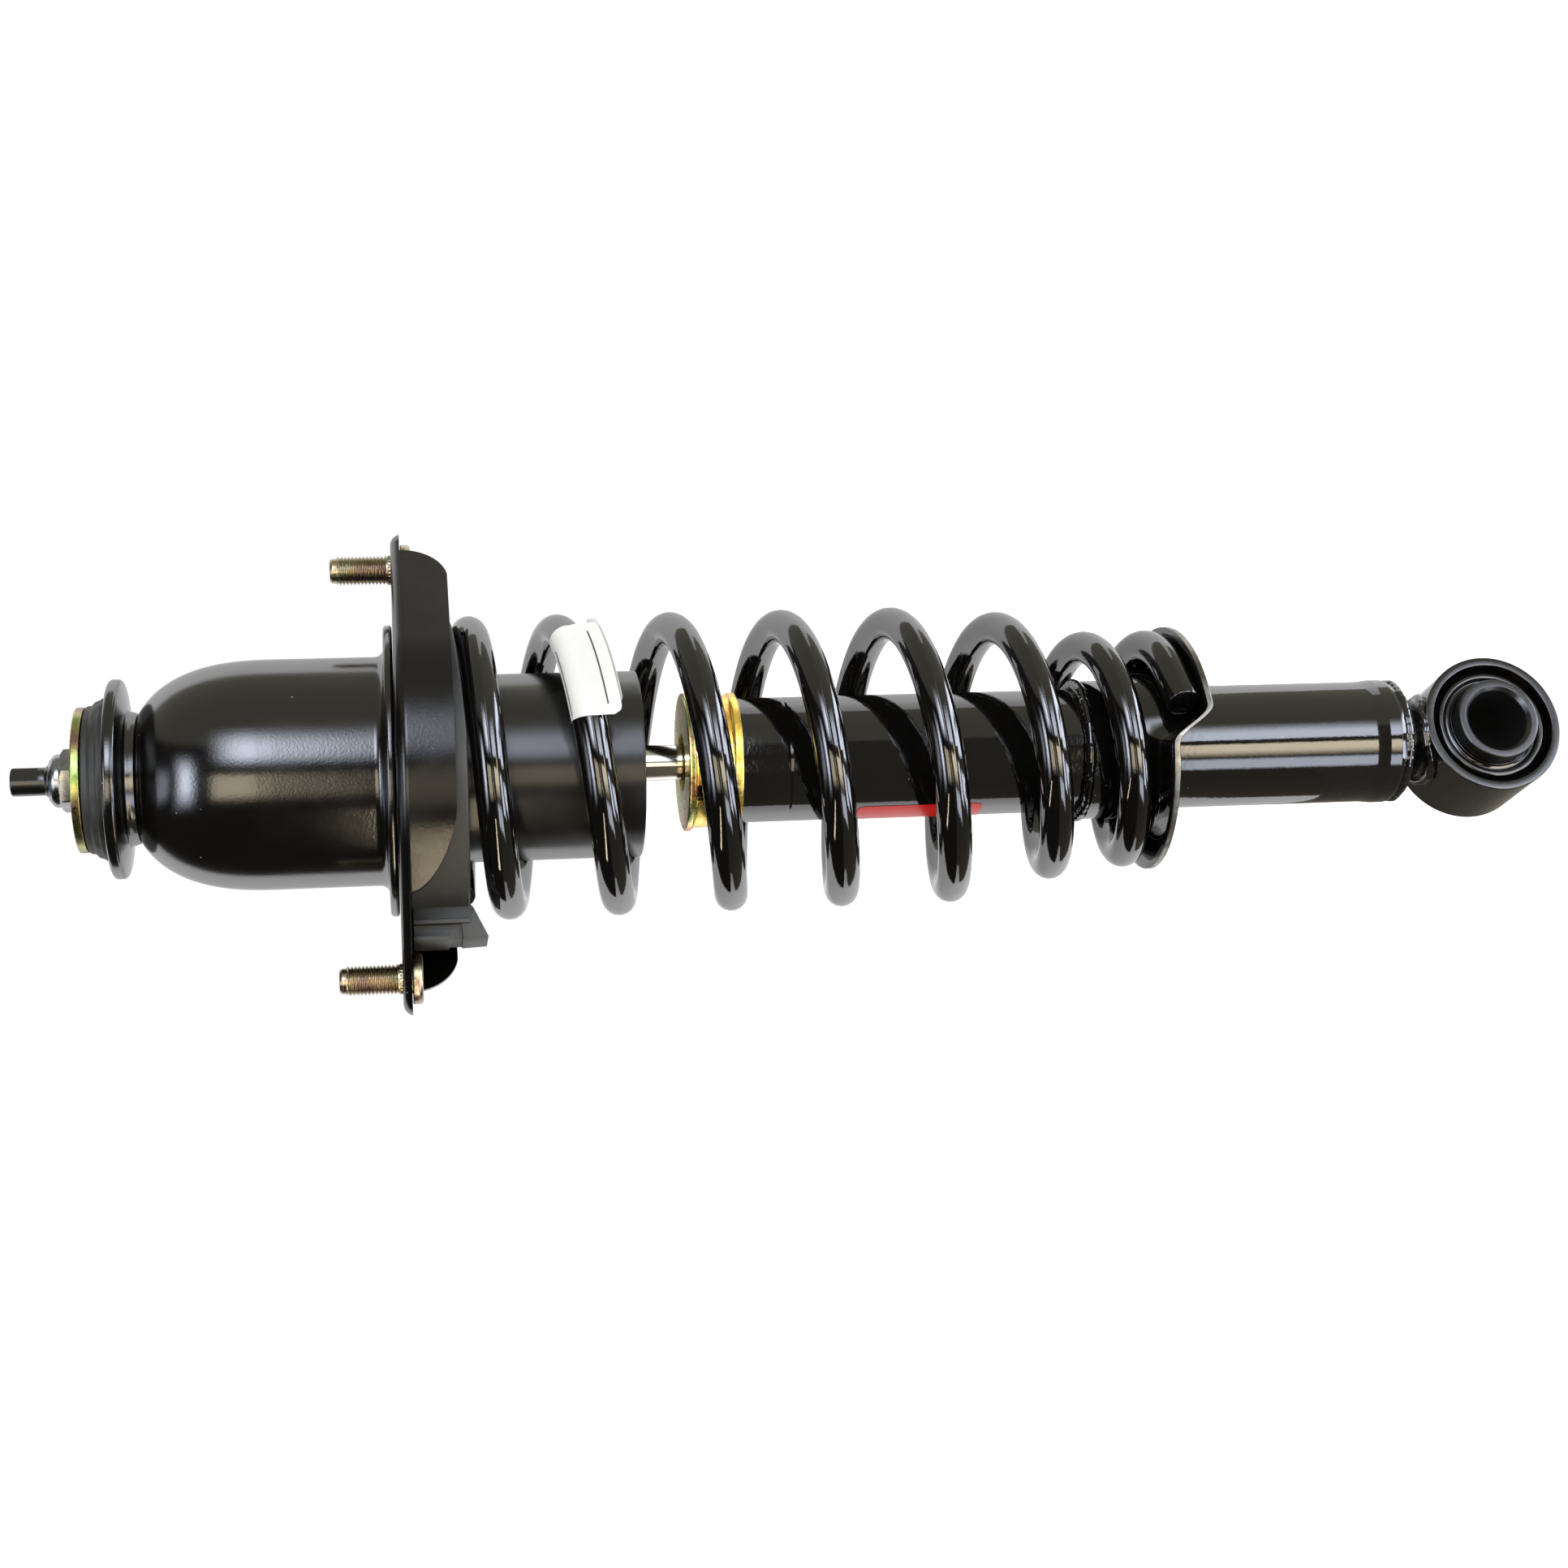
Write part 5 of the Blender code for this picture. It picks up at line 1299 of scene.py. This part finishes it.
def lower_eye():
    """The ring, its rubber bush with a groove in each face, and the steel sleeve."""
    ring_half = radius_of("eye_ring")
    radius = (top_of("eye_ring") - base_of("eye_ring")) / 2.0
    wall = 0.0031
    ring = turned(
        "eye_ring_enamelled", [(radius, ring_half, 0.0005), (radius, -ring_half, 0.0005),
        (radius - wall, -ring_half, 0.0004), (radius - wall, ring_half, 0.0004)],
        "gloss_black_enamel", 192)
    lay_across(ring)
    settle(ring, "damper", "gloss_black_enamel", "eye_ring")
    outer = radius - wall - 0.0001
    inner = 0.0152
    face = ring_half - 0.0015
    corners = [
        (outer, face - 0.0030, 0.0005), (outer, -face + 0.0030, 0.0005),
        (outer - 0.0016, -face + 0.0022, 0.0008), (outer - 0.0026, -face, 0.0010),
        (outer - 0.0044, -face, 0.0009), (outer - 0.0050, -face + 0.0016, 0.0007),
        (inner + 0.0006, -face + 0.0010, 0.0006), (inner, -face - 0.0008, 0.0004),
        (inner, face + 0.0008, 0.0004), (inner + 0.0006, face - 0.0010, 0.0006),
        (outer - 0.0050, face - 0.0016, 0.0007), (outer - 0.0044, face, 0.0009),
        (outer - 0.0026, face, 0.0010), (outer - 0.0016, face - 0.0022, 0.0008)]
    bush = turned("eye_bush_rubber", corners, "gloss_black_enamel", 192, sharp=50.0)
    lay_across(bush)
    settle(bush, "damper", "black_rubber", "eye_bush")
    half = radius_of("eye_sleeve")
    shell = 0.0150
    bore = 0.0110
    corners = [
        (shell, half, 0.0009), (shell, -half, 0.0009), (bore + 0.0014, -half, 0.0003),
        (bore, -half + 0.0014, 0.0003), (bore, half - 0.0014, 0.0003),
        (bore + 0.0014, half, 0.0003)]
    sleeve = turned("eye_sleeve_black", corners, "black_oxide_steel", 192)
    # the bore's faces get a near black finish that hardly reflects: painted shade
    second_finish(sleeve, "painted_shade_bore", lambda radius: radius < bore + 0.0002)
    lay_across(sleeve)
    settle(sleeve, "sleeve", "black_oxide_steel", "eye_sleeve")


INNER_PIECES = {
    "lower_washer": "clear_zinc", "spacer_sleeve": "clear_zinc",
    "bump_stop_cup": "satin_black_paint", "rod_guide": "bare_steel", "pressure_tube": "bare_steel",
    "base_valve": "bare_steel", "piston": "bare_steel", "piston_band": "ptfe_band",
    "valve_discs": "bare_steel", "piston_nut": "bare_steel",}


def inner_pieces():
    """Finishes for the inner pieces, which keep their shape, and the rubbers round the rod."""
    for node, material in INNER_PIECES.items():
        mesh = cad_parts[node]
        for place in mesh.material_slots:
            place.material = MATERIALS[material]

    # the seal: a block with a groove for its spring, and a lip on the rod
    bore = radius_of("piston_rod") + CLEAR
    outer = radius_of("rod_seal")
    top = top_of("rod_seal")
    base = base_of("rod_seal")
    lip = (top - base) * 0.45
    seal = turned(
        "rod_seal_rubber", [(outer, top, 0.0005), (outer, base, 0.0005),
        (bore + 0.0040, base, 0.0004), (bore + 0.0030, base + lip, 0.0008),
        (bore + 0.0018, base + 0.0006, 0.0004), (bore, base + lip * 0.5, 0.0004),
        (bore + 0.0006, top - lip * 0.6, 0.0006), (bore, top, 0.0004)], "black_rubber", 96)
    settle(seal, "damper", "black_rubber", "rod_seal")
    outer = radius_of("rebound_stop")
    top = top_of("rebound_stop")
    base = base_of("rebound_stop")
    middle = (top + base) / 2.0
    stop = turned(
        "rebound_stop_rubber", [(outer - 0.0006, top, 0.0010), (outer, middle + 0.0016, 0.0012),
        (outer - 0.0012, middle, 0.0010), (outer, middle - 0.0016, 0.0012),
        (outer - 0.0006, base, 0.0010), (bore, base, 0.0003), (bore, top, 0.0003)], "black_rubber",
        96)
    settle(stop, "mount", "black_rubber", "rebound_stop")


# ---------------------------------------------------------------- camera, light and floor
# Height along the strut, 0 to 1, and how far behind the strut's plane the white backdrop starts
# there, as a cosine.
BACKDROP_EDGE = (
    (0.0, 0.50), (0.28, 0.50), (0.335, 0.46), (0.37, 0.10), (0.435, 0.08), (0.458, 0.50),
    (1.0, 0.53))
# Each pane glows between four heights along the strut and four up the picture: it fades in from
# the first to the second, and out from the third to the fourth. Its tint and strength follow.
PANES = (
    ((-0.01, 0.08, 0.12, 0.46), (0.12, 0.36, 0.46, 0.76), "cool", 1.3),
    ((0.04, 0.09, 0.38, 0.46), (-0.46, -0.28, -0.02, 0.05), "warm", 1.4),
    ((-0.135, -0.115, -0.06, -0.03), (0.10, 0.28, 0.50, 0.85), "cool", 0.6),
    ((-0.135, -0.115, -0.06, -0.03), (-0.42, -0.30, -0.05, 0.05), "warm", 0.9),
    ((-0.68, -0.62, -0.315, -0.275), (0.14, 0.20, 0.34, 0.64), "cool", 0.8),
    ((-0.68, -0.62, -0.315, -0.275), (-0.40, -0.12, 0.0, 0.07), "warm", 2.4),
    ((-0.68, -0.62, -0.315, -0.275), (-0.70, -0.62, -0.46, -0.36), "cool", 0.6),
    ((-0.70, -0.66, -0.63, -0.59), (-0.16, -0.14, 0.14, 0.18), "warm", 2.4),
    ((-0.95, -0.91, -0.84, -0.80), (0.15, 0.17, 0.46, 0.66), "cool", 1.1),
    ((-0.90, -0.86, -0.80, -0.76), (-0.41, -0.39, -0.04, 0.02), "cool", 0.95),
    ((0.56, 0.68, 0.70, 0.84), (-0.55, -0.15, 0.0, 0.40), "cool", 1.2),
    ((0.84, 0.92, 0.95, 1.0), (-0.40, -0.20, -0.05, 0.20), "cool", 0.25),
    ((-1.01, -1.005, -0.95, -0.91), (0.05, 0.10, 0.24, 0.32), "cool", 0.9),
    ((-1.01, -1.005, -0.95, -0.91), (-0.30, -0.22, -0.09, -0.04), "cool", 0.8),
)


ROOM_UPPER = 0x35312C     # what the strut's upper end mirrors of the dim room
ROOM_LOWER = 0x8C8476     # and its lower end
ROOM_SIDE = 0xE0DCC8      # and the side that is uppermost in the picture
WINDOW_TINT = 0xE2E9FA
WALL_TINT = 0xFFF0D2
EVEN_LIGHT = (0.62, 0.63, 0.65, 1.0)    # the room as matt surfaces see it


def make_camera():
    """The camera of the photograph: nearly square on to the strut, which lies along the picture."""
    forward = -TOWARDS_CAMERA * math.cos(CAMERA_TILT) - Vector(UP) * math.sin(CAMERA_TILT)
    level_right = TOWARDS_CAMERA * math.sin(CAMERA_TILT) - Vector(UP) * math.cos(CAMERA_TILT)
    right = level_right * math.cos(CAMERA_ROLL) + PICTURE_UP * math.sin(CAMERA_ROLL)
    up = PICTURE_UP * math.cos(CAMERA_ROLL) - level_right * math.sin(CAMERA_ROLL)
    place = Matrix((right, up, -forward)).transposed().to_4x4()
    place.translation = TOWARDS_CAMERA * CAMERA_DISTANCE + Vector((0.0, 0.0, CAMERA_HEIGHT))
    data = bpy.data.cameras.new("camera")
    data.sensor_width = SENSOR_WIDTH
    data.lens = SENSOR_WIDTH * FOCAL_PIXELS / FRAME_PIXELS
    data.shift_y = (HORIZON_PIXEL - FRAME_PIXELS / 2.0) / FRAME_PIXELS
    camera = add_object("camera", data)
    camera.matrix_world = place
    bpy.context.scene.camera = camera


def make_world():
    """A white studio behind the strut, and a dim room before it, with panes and warm walls."""
    levels = bpy.context.scene.strut_stage
    world = bpy.data.worlds.new("studio")
    bpy.context.scene.world = world
    world.use_nodes = True
    tree = world.node_tree
    tree.nodes.clear()
    way = add_node(tree, "TexCoord", {}).outputs["Generated"]
    facing = add_node(tree, "VectorMath", {0: way, 1: TOWARDS_CAMERA},
                      operation="DOT_PRODUCT")
    rising = add_node(tree, "VectorMath", {0: way, 1: PICTURE_UP},
                      operation="DOT_PRODUCT")
    axial = add_node(tree, "SeparateXYZ", {0: way}).outputs["Z"]

    # the backdrop's near edge, as the cosine from the camera, against the height along the strut
    along = add_node(tree, "MapRange", {"Value": axial, "From Min": -1.0, "From Max": 1.0})
    edge = add_node(tree, "ValToRGB", {"Fac": along})
    stops = edge.color_ramp.elements
    stops[0].position, stops[0].color = BACKDROP_EDGE[0][0], (BACKDROP_EDGE[0][1],) * 3 + (1.0,)
    stops[1].position, stops[1].color = BACKDROP_EDGE[-1][0], (BACKDROP_EDGE[-1][1],) * 3 + (1.0,)
    for position, level in BACKDROP_EDGE[1:-1]:
        stops.new(position).color = (level, level, level, 1.0)
    beyond = add_node(tree, "Math", {0: facing, 1: edge}, operation="ADD")
    backdrop = add_node(
        tree, "MapRange", {"Value": beyond, "From Min": 0.03, "From Max": -0.03},
        interpolation_type="SMOOTHSTEP")
    deep = add_node(
        tree, "MapRange", {"Value": facing, "From Min": -0.50, "From Max": -0.93,
        "To Min": levels.backdrop, "To Max": levels.backdrop * 0.33})
    above = add_node(tree, "MapRange", {"Value": rising, "From Min": 0.44, "From Max": 0.52})
    beside = add_node(
        tree, "MapRange", {"Value": axial, "From Min": 0.0, "From Max": -0.10, "To Min": 0.85,
        "To Max": 1.0})
    side = add_node(tree, "Math", {0: above, 1: beside}, operation="MULTIPLY")
    lower = add_node(tree, "MapRange", {"Value": axial, "From Min": -0.02, "From Max": -0.16})
    dim = add_node(tree, "Mix", {0: lower, 6: linear(ROOM_UPPER), 7: linear(ROOM_LOWER)},
                   data_type="RGBA")
    room = add_node(tree, "Mix", {0: side, 6: dim, 7: linear(ROOM_SIDE)},
                    data_type="RGBA")
    shown = add_node(tree, "Mix", {0: backdrop, 6: room, 7: deep},
                     data_type="RGBA")
    before = add_node(tree, "Math", {0: facing, 1: -0.2}, operation="GREATER_THAN")
    tints = {"cool": (linear(WINDOW_TINT), levels.window), "warm": (linear(WALL_TINT), levels.wall)}
    for heights, rises, tint, strength in PANES:
        share = before
        for value, first, full in (
                (axial, heights[0], heights[1]), (axial, heights[3], heights[2]),
                (rising, rises[0], rises[1]), (rising, rises[3], rises[2])):
            ramp = add_node(tree, "MapRange", {"Value": value, "From Min": first, "From Max": full},
                            interpolation_type="SMOOTHSTEP")
            share = add_node(tree, "Math", {0: share, 1: ramp},
                             operation="MULTIPLY")
        hue, level = tints[tint]
        glow = [level * strength * channel for channel in hue[:3]] + [1.0]
        shown = add_node(tree, "Mix", {0: share, 6: shown, 7: glow}, data_type="RGBA")

    path = add_node(tree, "LightPath", {})
    even = add_node(
        tree, "Mix", {0: path.outputs["Is Glossy Ray"], 6: EVEN_LIGHT, 7: shown},
        data_type="RGBA")
    seen = add_node(
        tree, "Math", {0: path.outputs["Is Camera Ray"], 1: path.outputs["Is Transmission Ray"]},
        operation="MAXIMUM")
    light = add_node(tree, "Mix", {0: seen, 6: even, 7: (1.0, 1.0, 1.0, 1.0)},
                     data_type="RGBA")
    background = add_node(tree, "Background", {"Color": light})
    add_node(tree, "OutputWorld", {"Surface": background.outputs[0]})


def make_floor():
    """A pale floor just under the eye. The camera sees it nearly white, with the strut's shadow."""
    shape = bmesh.new()
    bmesh.ops.create_grid(shape, x_segments=2, y_segments=2, size=4.0)
    bmesh.ops.translate(shape, verts=shape.verts, vec=(0.0, 0.0, CAD_BOX[0][2] - 0.0002))
    mesh = mesh_from(shape, "floor")
    floor = add_object("floor", mesh)
    material, tree, shader, coords = new_material("Matt white studio board")
    drift = add_node(tree, "TexNoise", {"Vector": coords, "Scale": 2.0})
    tone = add_node(tree, "MapRange", {"Value": drift, "To Min": 0.90, "To Max": 0.94})
    path = add_node(tree, "LightPath", {})
    lift = add_node(tree, "Math", {0: path.outputs["Is Camera Ray"], 1: 0.80}, operation="MULTIPLY")
    board = add_node(tree, "BsdfDiffuse", {"Color": tone})
    glow = add_node(tree, "Emission", {"Strength": lift})
    both = add_node(tree, "AddShader", {0: board, 1: glow})
    tree.nodes.remove(shader)
    plug(tree.nodes["Material Output"], {"Surface": both})
    mesh.materials.append(material)
    floor.visible_glossy = False


def add_card(name, length, width, place, normal, colour, glow):
    """A card beside the strut that only reflections see. Its length runs along the strut."""
    shape = bmesh.new()
    bmesh.ops.create_grid(shape, x_segments=1, y_segments=1, size=0.5)
    bmesh.ops.scale(shape, verts=shape.verts, vec=(length, width, 1.0))
    mesh = mesh_from(shape, name)
    material, tree, shader, coords = new_material("Flock card, " + name)
    nap = add_node(tree, "TexNoise", {"Vector": coords, "Scale": 300.0})
    tone = add_node(tree, "MapRange", {"Value": nap, "To Min": 0.8, "To Max": 1.2})
    shade = add_node(tree, "Mix", {0: 1.0, 6: linear(colour), 7: tone},
                     data_type="RGBA", blend_type="MULTIPLY")
    plug(shader, {"Base Color": shade, "Emission Color": shade, "Emission Strength": glow,
                  "Roughness": 0.9})
    mesh.materials.append(material)
    card = add_object(name, mesh)
    turn = Matrix((Vector(UP), normal.cross(Vector(UP)).normalized(), normal)).transposed()
    card.matrix_world = Matrix.Translation(place) @ turn.to_4x4()
    card.visible_camera = False
    card.visible_shadow = False
    card.visible_diffuse = False


def add_cards():
    """A grey card under the eye, against the backdrop's light, and a warm one by the flange."""
    place = -PICTURE_UP * 0.045 - TOWARDS_CAMERA * 0.10 + Vector((0.0, 0.0, -0.47))
    add_card("grey_card", 0.26, 0.30, place, PICTURE_UP.copy(), ROOM_LOWER, 0.35)
    place = -PICTURE_UP * 0.20 + TOWARDS_CAMERA * 0.17 + Vector((0.0, 0.0, -0.011))
    add_card("warm_card", 0.022, 0.22, place, PICTURE_UP.copy(), 0xFFEBC8, 16.0)


def add_softbox(name, place, target, size, power):
    """A square lamp that lights evenly but isn't seen, by the camera or in reflections."""
    data = bpy.data.lights.new(name, "AREA")
    data.shape = "SQUARE"
    data.size = size
    data.energy = power
    lamp = add_object(name, data)
    lamp.location = place
    lamp.rotation_euler = (Vector(target) - Vector(place)).to_track_quat("-Z", "Y").to_euler()
    lamp.visible_camera = False
    lamp.visible_glossy = False


def make_lamps():
    """A large lamp overhead and a fill from the camera's side."""
    add_softbox("overhead", (0.25, -0.35, 1.35), (0.0, 0.0, -0.15), 1.4, 9.0)
    side = TOWARDS_CAMERA * 1.2 + PICTURE_UP * 0.9
    add_softbox("side_fill", (side.x, side.y, 0.1), (0.0, 0.0, -0.15), 1.2, 9.0)


# ---------------------------------------------------------------- operators
class STRUT_OT_stage(bpy.types.Operator):
    """Set up the camera, the studio's reflections, the lamps and the floor"""
    bl_idname = "strut.stage"
    bl_label = "Stage"

    def execute(self, context):
        context.scene.view_settings.view_transform = "Standard"
        make_camera()
        make_world()
        make_floor()
        add_cards()
        make_lamps()
        return {"FINISHED"}


class STRUT_OT_finishes(bpy.types.Operator):
    """Make the finishes that the pieces share"""
    bl_idname = "strut.finishes"
    bl_label = "Finishes"

    def execute(self, context):
        make_materials(context.scene.strut_damper)
        return {"FINISHED"}


class STRUT_OT_top_fastening(bpy.types.Operator):
    """Build the nut, the washer and the rod"""
    bl_idname = "strut.top_fastening"
    bl_label = "Rod, Nut and Washer"

    def execute(self, context):
        top_fastening()
        return {"FINISHED"}


class STRUT_OT_cushions(bpy.types.Operator):
    """Build the two rubber cushions"""
    bl_idname = "strut.cushions"
    bl_label = "Cushions"

    def execute(self, context):
        cushions()
        return {"FINISHED"}


class STRUT_OT_bell(bpy.types.Operator):
    """Build the bell and the cup on it"""
    bl_idname = "strut.bell"
    bl_label = "Bell and Cup"

    def execute(self, context):
        bell()
        return {"FINISHED"}


class STRUT_OT_flange(bpy.types.Operator):
    """Build the pressed flange"""
    bl_idname = "strut.flange"
    bl_label = "Flange"

    def execute(self, context):
        mount_flange()
        return {"FINISHED"}


class STRUT_OT_studs(bpy.types.Operator):
    """Build the two studs"""
    bl_idname = "strut.studs"
    bl_label = "Studs"

    def execute(self, context):
        studs()
        return {"FINISHED"}


class STRUT_OT_insulator(bpy.types.Operator):
    """Build the rubber spring insulator"""
    bl_idname = "strut.insulator"
    bl_label = "Insulator"

    def execute(self, context):
        insulator()
        return {"FINISHED"}


class STRUT_OT_spring(bpy.types.Operator):
    """Build the coil spring and its paper label"""
    bl_idname = "strut.spring"
    bl_label = "Spring and Label"

    def execute(self, context):
        coil_spring()
        paper_label()
        return {"FINISHED"}


class STRUT_OT_dust_cover(bpy.types.Operator):
    """Build the dust cover and the foam stop"""
    bl_idname = "strut.dust_cover"
    bl_label = "Dust Cover and Stop"

    def execute(self, context):
        dust_cover()
        return {"FINISHED"}


class STRUT_OT_bumper_cap(bpy.types.Operator):
    """Build the plated cap on the tube"""
    bl_idname = "strut.bumper_cap"
    bl_label = "Bumper Cap"

    def execute(self, context):
        bumper_cap()
        return {"FINISHED"}


class STRUT_OT_tube(bpy.types.Operator):
    """Build the outer tube and its decal"""
    bl_idname = "strut.tube"
    bl_label = "Outer Tube"

    def execute(self, context):
        outer_tube()
        return {"FINISHED"}


class STRUT_OT_seat(bpy.types.Operator):
    """Build the pressed spring seat and its weld"""
    bl_idname = "strut.seat"
    bl_label = "Spring Seat"

    def execute(self, context):
        spring_seat()
        return {"FINISHED"}


class STRUT_OT_end_cap(bpy.types.Operator):
    """Build the tube's end, its neck and the welds"""
    bl_idname = "strut.end_cap"
    bl_label = "End Cap and Welds"

    def execute(self, context):
        end_cap()
        return {"FINISHED"}


class STRUT_OT_eye(bpy.types.Operator):
    """Build the eye's ring, bush and sleeve"""
    bl_idname = "strut.eye"
    bl_label = "Lower Eye"

    def execute(self, context):
        lower_eye()
        return {"FINISHED"}


class STRUT_OT_inner(bpy.types.Operator):
    """Finish the pieces inside the damper and the mount"""
    bl_idname = "strut.inner"
    bl_label = "Inner Pieces"

    def execute(self, context):
        inner_pieces()
        return {"FINISHED"}


STEPS = (
    STRUT_OT_finishes, STRUT_OT_top_fastening, STRUT_OT_cushions, STRUT_OT_bell, STRUT_OT_flange,
    STRUT_OT_studs, STRUT_OT_insulator, STRUT_OT_spring, STRUT_OT_dust_cover, STRUT_OT_bumper_cap,
    STRUT_OT_tube, STRUT_OT_seat, STRUT_OT_end_cap, STRUT_OT_eye, STRUT_OT_inner, STRUT_OT_stage)


class STRUT_PT_panel(bpy.types.Panel):
    """The steps in order, with the sizes that a user would change"""
    bl_idname = "STRUT_PT_panel"
    bl_label = "Coil-over Strut"
    bl_space_type = "VIEW_3D"
    bl_region_type = "UI"
    bl_category = "Strut"

    def draw(self, context):
        scene = context.scene
        for group in (scene.strut_mount, scene.strut_spring, scene.strut_damper, scene.strut_stage):
            box = self.layout.box()
            for key in group.bl_rna.properties.keys():
                if key not in ("rna_type", "name"):
                    box.prop(group, key)
        column = self.layout.column(align=True)
        for step in STEPS:
            column.operator(step.bl_idname)


GROUPS = {"strut_mount": STRUT_PG_mount, "strut_spring": STRUT_PG_spring,
          "strut_damper": STRUT_PG_damper, "strut_stage": STRUT_PG_stage}


def register():
    for item in (*GROUPS.values(), *STEPS, STRUT_PT_panel):
        bpy.utils.register_class(item)
    for name, group in GROUPS.items():
        setattr(bpy.types.Scene, name, PointerProperty(type=group))


def unregister():
    for name in GROUPS:
        delattr(bpy.types.Scene, name)
    for item in (STRUT_PT_panel, *reversed(STEPS), *GROUPS.values()):
        bpy.utils.unregister_class(item)


def main():
    register()
    for step in STEPS:
        family, name = step.bl_idname.split(".")
        getattr(getattr(bpy.ops, family), name)()


if __name__ == "__main__":
    main()
